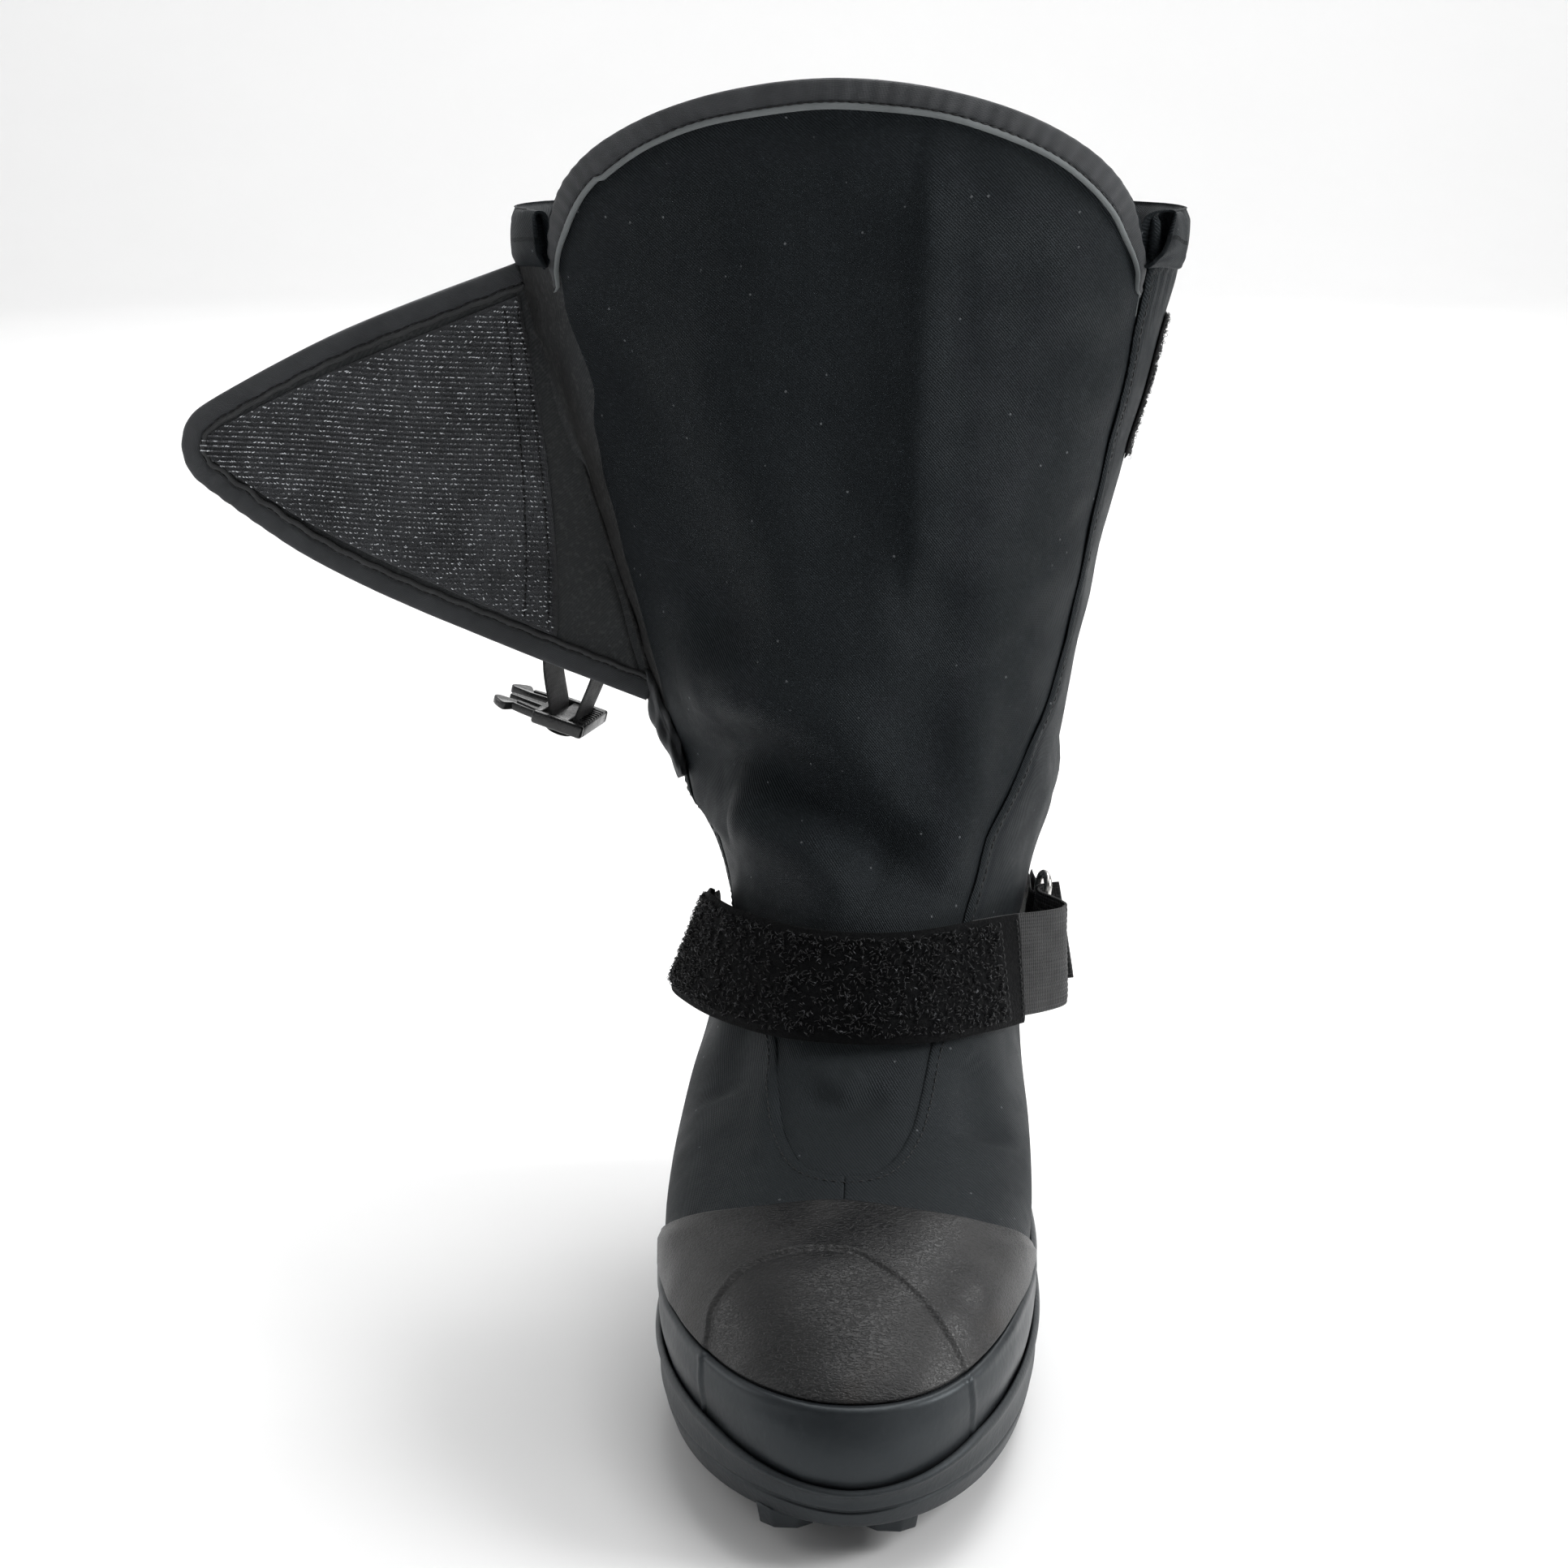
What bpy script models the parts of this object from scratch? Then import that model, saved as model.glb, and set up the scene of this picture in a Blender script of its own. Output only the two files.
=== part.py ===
"""Overboot: a nylon overshoe on a rubber sole, standing empty with its front flap folded out.

A left boot. Metres, +Z up, toe towards -Y, outer side towards +X.
The origin is on the floor, under the middle of the heel.
"""

import math
from collections import namedtuple

import bmesh
import bpy
import numpy as np
from mathutils import Euler, Matrix, Vector

# Driving sizes
GAP = 0.0003
BALL_Y = -0.175
TOE_Y = -0.2795
TOE_SPRING = 0.011
TOE_SWING = 0.006
TUCK_STATION = 0.3
COLLAR_HEIGHT = 0.386
SEAM_TOP = 0.362
ARCH_RISE = 0.067
ARCH_POWER = 1.85
UPPER_WALL = 0.0022
RAND_THICK = 0.0020
CAP_THICK = 0.0018
PATCH_THICK = 0.0012
FLAP_THICK = 0.0022
INSOLE_THICK = 0.004
LUG_DEPTH = 0.005
ARCH_LIFT = 0.006
HEM_HEIGHT = 0.020
HEM_BULGE = 0.0022
BINDING_WIDTH = 0.008
BINDING_SKIN = 0.0008
STRAP_WIDTH = 0.038
STRAP_THICK = 0.0020
ELASTIC_THICK = 0.0014
WEBBING_WIDTH = 0.018
WEBBING_THICK = 0.0012
ELASTIC_WIDTH = 0.036
LOOP_WIDTH = 0.028
RING_WIRE = 0.0015
SHARP_ANGLE = math.radians(35)

# One row for each section of the last, from the feather line up to the top of the bellows.
# front and back are the section's ends on the centre plane, before the toe spring.
# half_width is reached at widest_y, and heel_share of it is left at the back end.
# The powers square the two ends, and centre_x leans the leg sideways.
Section = namedtuple(
    "Section",
    "front_y front_z back_y back_z half_width widest_y heel_share"
    " front_power back_power centre_x",
)
LAST = [
    Section(-0.2690, 0.0120, 0.0410, 0.0180, 0.0560, -0.152, 0.68, 1.75, 3.0, 0.0015),
    Section(-0.2743, 0.0230, 0.0435, 0.0290, 0.0576, -0.152, 0.69, 1.95, 3.0, 0.0015),
    Section(-0.2733, 0.0340, 0.0447, 0.0390, 0.0584, -0.152, 0.70, 2.1, 2.9, 0.0015),
    Section(-0.2664, 0.0445, 0.0452, 0.0480, 0.0598, -0.152, 0.71, 2.3, 2.9, 0.0015),
    Section(-0.2533, 0.0560, 0.0454, 0.0560, 0.0600, -0.150, 0.70, 2.25, 2.8, 0.001),
    Section(-0.2360, 0.0675, 0.0453, 0.0630, 0.0608, -0.140, 0.71, 2.3, 2.7, 0.001),
    Section(-0.2160, 0.0770, 0.0450, 0.0690, 0.0606, -0.125, 0.73, 2.2, 2.7, 0.001),
    Section(-0.1900, 0.0845, 0.0445, 0.0750, 0.0598, -0.105, 0.75, 2.2, 2.6, 0.001),
    Section(-0.1660, 0.0935, 0.0437, 0.0820, 0.0582, -0.085, 0.78, 2.1, 2.5, 0.001),
    Section(-0.1460, 0.1070, 0.0425, 0.0900, 0.0559, -0.066, 0.82, 2.1, 2.4, 0.002),
    Section(-0.1300, 0.1250, 0.0412, 0.1000, 0.0539, -0.052, 0.86, 2.1, 2.3, 0.003),
    Section(-0.1180, 0.1470, 0.0402, 0.1130, 0.0536, -0.042, 0.90, 2.1, 2.2, 0.0035),
    Section(-0.1090, 0.1710, 0.0400, 0.1300, 0.0580, -0.036, 0.94, 2.1, 2.2, 0.0035),
    Section(-0.1030, 0.1970, 0.0412, 0.1520, 0.0655, -0.031, 0.98, 2.1, 2.2, 0.0025),
    Section(-0.0995, 0.2260, 0.0435, 0.1800, 0.0715, -0.028, 1.00, 2.1, 2.2, 0.000),
    Section(-0.0985, 0.2590, 0.0463, 0.2140, 0.0790, -0.026, 1.00, 2.1, 2.2, -0.002),
    Section(-0.0990, 0.2950, 0.0492, 0.2540, 0.0890, -0.025, 1.00, 2.1, 2.2, -0.004),
    Section(-0.1000, 0.3320, 0.0520, 0.2980, 0.1005, -0.024, 1.00, 2.1, 2.2, -0.005),
    Section(-0.1010, 0.3640, 0.0545, 0.3400, 0.1105, -0.023, 1.00, 2.1, 2.2, -0.006),
    Section(-0.1020, 0.3960, 0.0565, 0.3800, 0.1180, -0.022, 1.00, 2.1, 2.2, -0.007),
    Section(-0.1030, 0.4330, 0.0590, 0.4250, 0.1250, -0.022, 1.00, 2.1, 2.2, -0.007),
]
LAST_TABLE = np.array(LAST)
TOP_STATION = len(LAST) - 1
RING_STEPS = 121

# Columns round the boot, closer together at the toe, at the bellows seam and at the heel.
SEAM_EDGE = 0.365
TAPE_END = 0.352
FRONT_SHARES = (0.0, 0.03, 0.06, 0.095, 0.13, 0.17, 0.215, 0.26, 0.3, 0.335, TAPE_END, SEAM_EDGE)
BACK_SHARES = (0.379, 0.44, 0.51, 0.58, 0.65, 0.72, 0.78, 0.83, 0.875, 0.92, 0.96, 1.0)
CAP_END = 0.335
EDGE_SLACK = 0.001
RIGHT_SIDE = np.array(FRONT_SHARES + BACK_SHARES)
COLUMNS = np.concatenate([RIGHT_SIDE, -RIGHT_SIDE[-2:0:-1]])

# Rows of the last where the layers of the foot end.
RAND_TOE_ROW = 2.84
RAND_SIDE_RISE = 1.05
RAND_RISE_END = 0.26
CAP_FIRST_STEP = 0.04
CAP_CREST_ROW = 6.9
CAP_SIDE_DROP = 2.9
CAP_CORNER = 0.35
CAP_CURVE = 1.7
CAP_LINES = 7
SIDE_STEP = 0.25
SIDE_RISE = 2.2
SIDE_RUN = 0.3
LEG_ROW = 14
LEG_LINES = 11
HEM_STEP = 0.12
INSOLE_ROW = 0.02

# The sole's wall from its bottom edge to the lip: outward from the last, and up as a share.
SoleStep = namedtuple("SoleStep", "out up")
SOLE_WALL = [
    SoleStep(-0.0060, 0.00),
    SoleStep(0.0025, 0.00),
    SoleStep(0.0042, 0.07),
    SoleStep(0.0046, 0.36),
    SoleStep(0.0038, 0.39),
    SoleStep(0.0038, 0.44),
    SoleStep(0.0049, 0.48),
    SoleStep(0.0041, 0.68),
    SoleStep(0.0044, 0.82),
    SoleStep(0.0058, 0.91),
    SoleStep(0.0054, 1.00),
]
SoleHeight = namedtuple("SoleHeight", "y lip_z")
SOLE_LIP = [
    SoleHeight(-0.2795, 0.0285),
    SoleHeight(-0.2650, 0.0320),
    SoleHeight(-0.2480, 0.0355),
    SoleHeight(-0.2200, 0.0370),
    SoleHeight(-0.1750, 0.0365),
    SoleHeight(0.0500, 0.0385),
]

# The waist, where the sole is raised under the arch: its two ends and the slopes up to it.
WAIST_FRONT_Y = -0.108
WAIST_FRONT_RUN = 0.020
WAIST_BACK_Y = -0.042
WAIST_BACK_RUN = 0.016

# Tread: one row of lugs for each place along the foot; inner lugs sit at the given x.
LugRow = namedtuple("LugRow", "y outer inner")
TREAD = [
    LugRow(-0.2545, False, (-0.0125, 0.0185)),
    LugRow(-0.2345, False, (-0.0115, 0.0155)),
    LugRow(-0.2115, False, (-0.0225, 0.0015, 0.0255)),
    LugRow(-0.1875, False, (-0.0345, -0.0115, 0.0115, 0.0345)),
    LugRow(-0.1630, True, (-0.017, 0.017)),
    LugRow(-0.1390, True, (-0.016, 0.016)),
    LugRow(-0.1150, True, (0.0,)),
    LugRow(-0.0290, True, (0.0,)),
    LugRow(0.0000, True, (0.0,)),
    LugRow(0.0280, True, ()),
]
LUG_LONG = 0.0165
LUG_WIDE = 0.0185
LUG_TAPER = 0.0012
LUG_CORNER = 0.0045
LUG_ROOT = 0.003

# Soft patch on the leg: its columns and its heights.
PATCH_COLUMNS = (0.40, 0.62)
PATCH_HEIGHTS = (0.300, 0.350)
PATCH_LINES = 6

# Flap outline as seen from the front, from its tip to its root.
FlapPoint = namedtuple("FlapPoint", "x z")
FLAP_TOP = [
    FlapPoint(-0.2400, 0.3095),
    FlapPoint(-0.2295, 0.3185),
    FlapPoint(-0.1895, 0.3385),
    FlapPoint(-0.1495, 0.3550),
    FlapPoint(-0.1180, 0.3675),
]
FLAP_BOTTOM = [
    FlapPoint(-0.2400, 0.2975),
    FlapPoint(-0.2310, 0.2895),
    FlapPoint(-0.1920, 0.2640),
    FlapPoint(-0.1350, 0.2373),
    FlapPoint(-0.0720, 0.2110),
]
FLAP_ROOT_U = -0.45
FLAP_LOW_ROW = 11
FLAP_TIP_Y = -0.050
FLAP_BOW = 0.004
FLAP_PULL = 4
FLAP_Q = np.linspace(0, 1, 13) ** 1.2
FLAP_LINES = 8
# Tape round the flap: where it stops, and how far in it reaches at the sides and at the tip.
TAPE_STOP_Q = 0.97
TAPE_SIDE = 1.12
TAPE_SIDE_MOST = 0.4
TAPE_TIP = 0.16
TAPE_TIP_FADE = 0.06
# Hook patch on the flap: its two ends, the slant of the one by the fold, and its margin in tapes.
HOOK_TIP_Q = 0.32
HOOK_FOLD_Q = 0.95
HOOK_SLANT = 0.10
HOOK_MARGIN = 1.35
HOOK_LIFT = 1.4
HOOK_COLUMNS = 9
HOOK_LINES = 6

# Ankle strap centre line: place, and the direction of the strap's width there.
StrapPoint = namedtuple("StrapPoint", "x y z up_x up_y up_z")
STRAP_ROUTE = [
    StrapPoint(-0.0545, -0.0240, 0.1160, 0.00, 0.00, 1.00),
    StrapPoint(-0.0553, -0.0400, 0.1195, 0.00, 0.00, 1.00),
    StrapPoint(-0.0562, -0.0540, 0.1245, 0.08, 0.00, 0.99),
    StrapPoint(-0.0578, -0.0670, 0.1300, 0.24, 0.00, 0.97),
    StrapPoint(-0.0588, -0.0775, 0.1340, 0.35, 0.04, 0.93),
    StrapPoint(-0.0560, -0.0885, 0.1345, 0.34, 0.10, 0.93),
    StrapPoint(-0.0430, -0.1075, 0.1345, 0.20, 0.32, 0.92),
    StrapPoint(-0.0220, -0.1245, 0.1345, 0.06, 0.45, 0.89),
    StrapPoint(0.0020, -0.1302, 0.1345, 0.00, 0.48, 0.88),
    StrapPoint(0.0240, -0.1255, 0.1340, -0.05, 0.45, 0.89),
    StrapPoint(0.0430, -0.1110, 0.1330, -0.12, 0.34, 0.93),
    StrapPoint(0.0575, -0.0945, 0.1310, -0.10, 0.16, 0.98),
]
ELASTIC_ROUTE = [
    StrapPoint(0.0430, -0.1050, 0.1325, -0.12, 0.30, 0.94),
    StrapPoint(0.0540, -0.0925, 0.1310, -0.10, 0.16, 0.98),
    StrapPoint(0.0645, -0.0825, 0.1295, -0.06, 0.08, 1.00),
    StrapPoint(0.0720, -0.0735, 0.1285, -0.05, 0.02, 1.00),
    StrapPoint(0.0735, -0.0680, 0.1285, -0.04, 0.00, 1.00),
    StrapPoint(0.0710, -0.0640, 0.1290, 0.00, 0.00, 1.00),
    StrapPoint(0.0665, -0.0600, 0.1295, 0.06, 0.00, 1.00),
    StrapPoint(0.0628, -0.0555, 0.1295, 0.12, 0.00, 0.99),
    StrapPoint(0.0618, -0.0512, 0.1295, 0.14, 0.00, 0.99),
    StrapPoint(0.0640, -0.0482, 0.1295, 0.14, 0.00, 0.99),
    StrapPoint(0.0690, -0.0478, 0.1300, 0.12, 0.00, 0.99),
    StrapPoint(0.0745, -0.0490, 0.1310, 0.08, 0.00, 1.00),
]
# Webbing loop that holds the ring's inner bar to the outer flank of the leg.
LOOP_ROUTE = [
    StrapPoint(0.0582, -0.0120, 0.1302, 0.16, 0.00, 0.99),
    StrapPoint(0.0590, -0.0220, 0.1300, 0.16, 0.00, 0.99),
    StrapPoint(0.0595, -0.0320, 0.1299, 0.15, 0.00, 0.99),
    StrapPoint(0.0595, -0.0395, 0.1298, 0.15, 0.00, 0.99),
    StrapPoint(0.0604, -0.0428, 0.1297, 0.15, 0.00, 0.99),
    StrapPoint(0.0622, -0.0436, 0.1295, 0.15, 0.00, 0.99),
    StrapPoint(0.0644, -0.0424, 0.1292, 0.15, 0.00, 0.99),
    StrapPoint(0.0647, -0.0390, 0.1292, 0.15, 0.00, 0.99),
    StrapPoint(0.0625, -0.0310, 0.1295, 0.15, 0.00, 0.99),
    StrapPoint(0.0608, -0.0220, 0.1298, 0.16, 0.00, 0.99),
    StrapPoint(0.0602, -0.0150, 0.1299, 0.16, 0.00, 0.99),
]
ROUTE_STEPS = 2
RING_OUTER_BAR = Vector((0.0648, -0.0522, 0.1295))
RING_INNER_BAR = Vector((0.0621, -0.0405, 0.1295))
RING_UP = Vector((0.15, 0.0, 0.99))
RING_HEIGHT = 0.043
RING_CORNER = 0.005

# Side-release buckle, male half: its place, and its sizes along, across and through.
BUCKLE_AT = Vector((-0.1097, -0.0180, 0.2000))
BUCKLE_TURN = (math.radians(2), math.radians(15), math.radians(-14))
BUCKLE_WIDE = 0.026
BUCKLE_DEEP = 0.005
FRAME_LONG = 0.0205
BAR_LONG = 0.0065
SLOT_LONG = 0.0036
SLOT_PLAY = 0.001
BUCKLE_BEVEL = 0.0012
PRONG_DEEP = 0.62
GUIDE_DEEP = 0.5
# One prong's outline: along from the frame's end towards the tip, and in from the buckle's side.
ProngPoint = namedtuple("ProngPoint", "along inset")
PRONG = [
    ProngPoint(-0.0010, 0.0065),
    ProngPoint(-0.0010, 0.0020),
    ProngPoint(0.0090, 0.0035),
    ProngPoint(0.0115, 0.0000),
    ProngPoint(0.0135, 0.0010),
    ProngPoint(0.0175, 0.0045),
    ProngPoint(0.0165, 0.0065),
    ProngPoint(0.0090, 0.0075),
]
GUIDE_ROOT = 0.001
GUIDE_LONG = 0.014
GUIDE_HALF_ROOT = 0.0022
GUIDE_HALF_TIP = 0.0014
# The buckle's webbing: its sewn end's column and heights, how it hangs, and its turn round the bar.
TURN_CLEAR = 0.0006
TURN_DROP = 0.0016
TURN_RISE = 0.003
TURN_STEPS = 7
TAB_LINES = 3
TAB_HEIGHTS = (0.290, 0.265)
TAB_HANG = ((-0.1120, 0.2420), (-0.1155, 0.2230))
TAB_RETURN = ((-0.0975, 0.2180), (-0.0935, 0.2350))
TAB_U = -0.53


def smooth_rows(table, at):
    """Rows of a table at fractional row numbers, joined by a Catmull-Rom cubic."""
    table = np.asarray(table, float)
    last = len(table) - 1
    at = np.clip(np.asarray(at, float), 0, last)
    low = np.minimum(at.astype(int), last - 1)
    part = (at - low)[:, None]
    before, start, end, after = (table[np.clip(low + k, 0, last)] for k in (-1, 0, 1, 2))
    curve = 2 * before - 5 * start + 4 * end - after
    bend = 3 * (start - end) + after - before
    return start + 0.5 * part * (end - before + part * (curve + part * bend))


def ease(x):
    """Smooth step from 0 to 1."""
    x = np.clip(x, 0, 1)
    return x * x * (3 - 2 * x)


def unit(v):
    return v / np.linalg.norm(v, axis=-1, keepdims=True)


def toe_curve(y):
    """From 0 behind the ball of the foot to 1 at the toe."""
    return (np.clip(BALL_Y - y, 0, None) / (BALL_Y - TOE_Y)) ** 2


def toe_lift(y):
    """How far the toe spring raises the sole at y."""
    return TOE_SPRING * toe_curve(y)


def last_points(u, t):
    """The upper's outer surface: u from 0 in front to -1 or 1 behind, t the row of the last."""
    u = (np.asarray(u, float) + 1) % 2 - 1
    u, t = np.broadcast_arrays(u, t)
    rows = smooth_rows(LAST_TABLE, t.ravel())
    front_y, front_z, back_y, back_z, half, widest, heel, f_pow, b_pow, lean = rows.T[:, :, None]
    turn = np.linspace(0, math.pi, RING_STEPS)
    in_front = turn <= math.pi / 2
    power = np.where(in_front, f_pow, b_pow)
    along = np.abs(np.cos(turn)) ** (2 / power)
    y = widest + np.where(in_front, front_y - widest, back_y - widest) * along
    taper = np.where(in_front, 1, 1 - (1 - heel) * ease(along))
    x = half * np.sin(turn) ** (2 / power) * taper
    steps = np.hypot(np.diff(x), np.diff(y))
    length = np.concatenate([np.zeros((len(rows), 1)), np.cumsum(steps, 1)], 1)
    target = np.abs(u).reshape(-1, 1) * length[:, -1:]
    cell = np.clip((length < target).sum(1) - 1, 0, RING_STEPS - 2)[:, None]
    start = np.take_along_axis(length, cell, 1)
    part = (target - start) / (np.take_along_axis(length, cell + 1, 1) - start)
    x = np.take_along_axis(x, cell, 1) * (1 - part) + np.take_along_axis(x, cell + 1, 1) * part
    y = np.take_along_axis(y, cell, 1) * (1 - part) + np.take_along_axis(y, cell + 1, 1) * part
    z = back_z + (front_z - back_z) * (y - back_y) / (front_y - back_y) + toe_lift(y)
    x = x * np.where(u.reshape(-1, 1) < 0, -1, 1) + lean + TOE_SWING * toe_curve(y)
    return np.concatenate([x, y, z], 1).reshape(*u.shape, 3)


def last_normals(u, t):
    """Outward unit normals of the upper's outer surface."""
    u, t = np.broadcast_arrays(np.asarray(u, float), np.asarray(t, float))
    across = last_points(u + 0.004, t) - last_points(u - 0.004, t)
    rising = last_points(u, t + 0.02) - last_points(u, t - 0.02)
    return unit(np.cross(across, rising))


def shell(u, t, offset):
    """Points at an offset outward from the upper's outer surface."""
    u, t = np.broadcast_arrays(np.asarray(u, float), np.asarray(t, float))
    return last_points(u, t) + last_normals(u, t) * np.asarray(offset, float)[..., None]


def station_where(u, axis, value, low, high):
    """The row t at which each column u reaches a value of x, y or z, between two rows."""
    t = np.linspace(low, high, 161)
    grid = last_points(np.asarray(u)[:, None], t[None, :])[..., axis]
    value = np.broadcast_to(value, len(grid))
    return np.array([np.interp(v, g, t) for v, g in zip(value, grid)])


def collar_height(u):
    """Height of the collar at u: level behind, and a raised arch over the bellows in front."""
    share = np.clip(np.abs(u) / SEAM_EDGE, 0, 1)
    arch = SEAM_TOP + ARCH_RISE * (1 - share**ARCH_POWER) ** (1 / ARCH_POWER)
    return np.where(np.abs(u) > SEAM_EDGE + EDGE_SLACK, COLLAR_HEIGHT, arch)


def collar_station(u):
    return station_where(u, 2, collar_height(u), LEG_ROW, TOP_STATION)


def material(name, colour, roughness, metallic=0.0):
    made = bpy.data.materials.new(name)
    made.use_nodes = True
    shader = made.node_tree.nodes["Principled BSDF"]
    shader.inputs["Base Color"].default_value = (*colour, 1)
    shader.inputs["Roughness"].default_value = roughness
    shader.inputs["Metallic"].default_value = metallic
    return made


def add_part(name, points, faces, finish):
    """One named object from points and faces, with its faces turned outward."""
    mesh = bpy.data.meshes.new(name)
    mesh.from_pydata([tuple(p) for p in points], [], faces)
    work = bmesh.new()
    work.from_mesh(mesh)
    bmesh.ops.remove_doubles(work, verts=work.verts, dist=1e-6)
    bmesh.ops.recalc_face_normals(work, faces=work.faces)
    work.to_mesh(mesh)
    work.free()
    mesh.shade_smooth()
    mesh.set_sharp_from_angle(angle=SHARP_ANGLE)
    mesh.materials.append(finish)
    made = bpy.data.objects.new(name, mesh)
    bpy.context.scene.collection.objects.link(made)
    return made


def add_shell(name, outer, inner, finish, ring=False):
    """A wall between two grids of points; ring joins the last column to the first."""
    rows, cols = outer.shape[:2]
    spans = cols if ring else cols - 1

    def at(side, row, col):
        return side * rows * cols + row * cols + col % cols

    def quad(first, second):
        """A face from two edges, each given as two (side, row, column) corners."""
        return [at(*first[0]), at(*first[1]), at(*second[1]), at(*second[0])]

    faces = []
    for row in range(rows - 1):
        for col in range(spans):
            for side in (0, 1):
                low = (side, row, col), (side, row, col + 1)
                high = (side, row + 1, col), (side, row + 1, col + 1)
                faces.append(quad(low, high))
    for row in (0, rows - 1):
        for col in range(spans):
            faces.append(quad(((0, row, col), (1, row, col)), ((0, row, col + 1), (1, row, col + 1))))
    for col in () if ring else (0, cols - 1):
        for row in range(rows - 1):
            faces.append(quad(((0, row, col), (1, row, col)), ((0, row + 1, col), (1, row + 1, col))))
    points = np.concatenate([outer.reshape(-1, 3), inner.reshape(-1, 3)])
    return add_part(name, points, faces, finish)


def add_sweep(name, loops, finish, ring=False):
    """A solid through equal loops of points; ring joins the last loop to the first."""
    count, corners = loops.shape[:2]
    faces = []
    for k in range(count if ring else count - 1):
        ahead = (k + 1) % count
        for c in range(corners):
            beside = (c + 1) % corners
            faces.append(
                [k * corners + c, k * corners + beside, ahead * corners + beside, ahead * corners + c]
            )
    if not ring:
        faces.append(list(range(corners)))
        faces.append([(count - 1) * corners + c for c in range(corners)])
    return add_part(name, loops.reshape(-1, 3), faces, finish)


def band_loops(centres, ups, width, thick):
    """Loops of a flat band whose width runs along the given directions."""
    ahead = unit(np.gradient(centres, axis=0))
    ups = unit(ups - ahead * (ups * ahead).sum(1, keepdims=True))
    flat = np.cross(ahead, ups)
    half_up, half_flat = ups * width / 2, flat * thick / 2
    corners = [half_up + half_flat, half_up - half_flat, -half_up - half_flat, -half_up + half_flat]
    return np.stack([centres + c for c in corners], 1)


def add_band(name, route, width, thick, finish):
    """A strap along a smooth route of points with width directions."""
    at = np.linspace(0, len(route) - 1, (len(route) - 1) * ROUTE_STEPS + 1)
    rows = smooth_rows(route, at)
    return add_sweep(name, band_loops(rows[:, :3], rows[:, 3:], width, thick), finish)


def add_binding(name, place, half, finish):
    """A folded tape that grips both faces of a sheet along its edge.

    place(share, off) gives the points in from the edge by a share of the tape's width
    and off the sheet's middle surface.
    """
    near, far = half + GAP, half + GAP + BINDING_SKIN
    clear, outside = -GAP / BINDING_WIDTH, -(GAP + BINDING_SKIN) / BINDING_WIDTH
    profile = [
        (1, near),
        (1, far),
        (outside, far),
        (outside, -far),
        (1, -far),
        (1, -near),
        (clear, -near),
        (clear, near),
    ]
    loops = []
    for share, off in profile:
        edge, deep = place(0.0, off), place(1.0, off)
        loops.append(edge + (deep - edge) * share)
    return add_sweep(name, np.stack(loops, 1), finish)


def foot_rows(u):
    """Rows of the last shared by the foot's layers: base, tuck, lip and up to the rand's top."""
    lip = station_where(u, 2, sole_lip(last_points(u, 1.0)[:, 1]), 0, 4)
    edge = rand_top(u)
    tuck = np.full(len(u), TUCK_STATION)
    return np.stack([np.zeros(len(u)), tuck, lip, (2 * lip + edge) / 3, (lip + 2 * edge) / 3, edge])


def cap_rows(u):
    """Rows of the last under the toe cap, carried on round the foot."""
    low = rand_top(u) + CAP_FIRST_STEP
    beyond = low + SIDE_STEP + SIDE_RISE * ease((np.abs(u) - CAP_END) / SIDE_RUN)
    high = np.where(np.abs(u) <= CAP_END + EDGE_SLACK, cap_back(u), beyond)
    return np.linspace(low, high, CAP_LINES)


def build_upper(finish):
    """Vamp, quarters, leg and bellows as one wall, open at the collar and under the foot."""
    foot, instep = foot_rows(COLUMNS), cap_rows(COLUMNS)
    top = collar_station(COLUMNS)
    hem_low = station_where(COLUMNS, 2, collar_height(COLUMNS) - HEM_HEIGHT, LEG_ROW, TOP_STATION)
    leg = np.linspace(instep[-1], hem_low, LEG_LINES)[1:]
    hem_step = hem_low + (top - hem_low) * HEM_STEP
    stations = np.concatenate([foot, instep, leg, [hem_step, top]])
    hem = np.zeros_like(stations)
    hem[-2:, np.abs(COLUMNS) > SEAM_EDGE + EDGE_SLACK] = HEM_BULGE
    outer = shell(COLUMNS[None, :], stations, hem)
    inner = shell(COLUMNS[None, :], stations, -UPPER_WALL - hem)
    return add_shell("upper", outer, inner, finish, ring=True)


def rand_top(u):
    """Row of the last at the rand's upper edge: low over the toe, level along the sides."""
    return RAND_TOE_ROW + RAND_SIDE_RISE * ease(np.abs(u) / RAND_RISE_END)


def build_rand(finish):
    """Rubber band that covers the joint of upper and sole all the way round."""
    stations = foot_rows(COLUMNS)[1:]
    outer = shell(COLUMNS[None, :], stations, GAP + RAND_THICK)
    inner = shell(COLUMNS[None, :], stations, GAP)
    return add_shell("rand", outer, inner, finish, ring=True)


def cap_back(u):
    """Row of the last at the toe cap's rear edge, which meets the rand at the sides."""
    return CAP_CREST_ROW - CAP_SIDE_DROP * (np.abs(u) / CAP_CORNER) ** CAP_CURVE


def build_toe_cap(finish):
    """Rubber cap over the toes, from the rand's edge back to a line across the vamp."""
    u = np.sort(COLUMNS[np.abs(COLUMNS) <= CAP_END + EDGE_SLACK])
    stations = cap_rows(u)
    outer = shell(u[None, :], stations, GAP + CAP_THICK)
    inner = shell(u[None, :], stations, GAP)
    return add_shell("toe_cap", outer, inner, finish)


def sole_outline(u, t, out):
    """The sole's plan outline, at a distance outward from rows of the last."""
    flat = last_normals(u, t) * (1, 1, 0)
    return (last_points(u, t) + unit(flat) * out)[:, :2]


def sole_bottom(y):
    """Height of the sole between its lugs: raised under the arch and at the toe."""
    front = ease((y - WAIST_FRONT_Y) / WAIST_FRONT_RUN)
    waist = front * ease((WAIST_BACK_Y - y) / WAIST_BACK_RUN)
    return LUG_DEPTH + ARCH_LIFT * waist + toe_lift(y)


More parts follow.
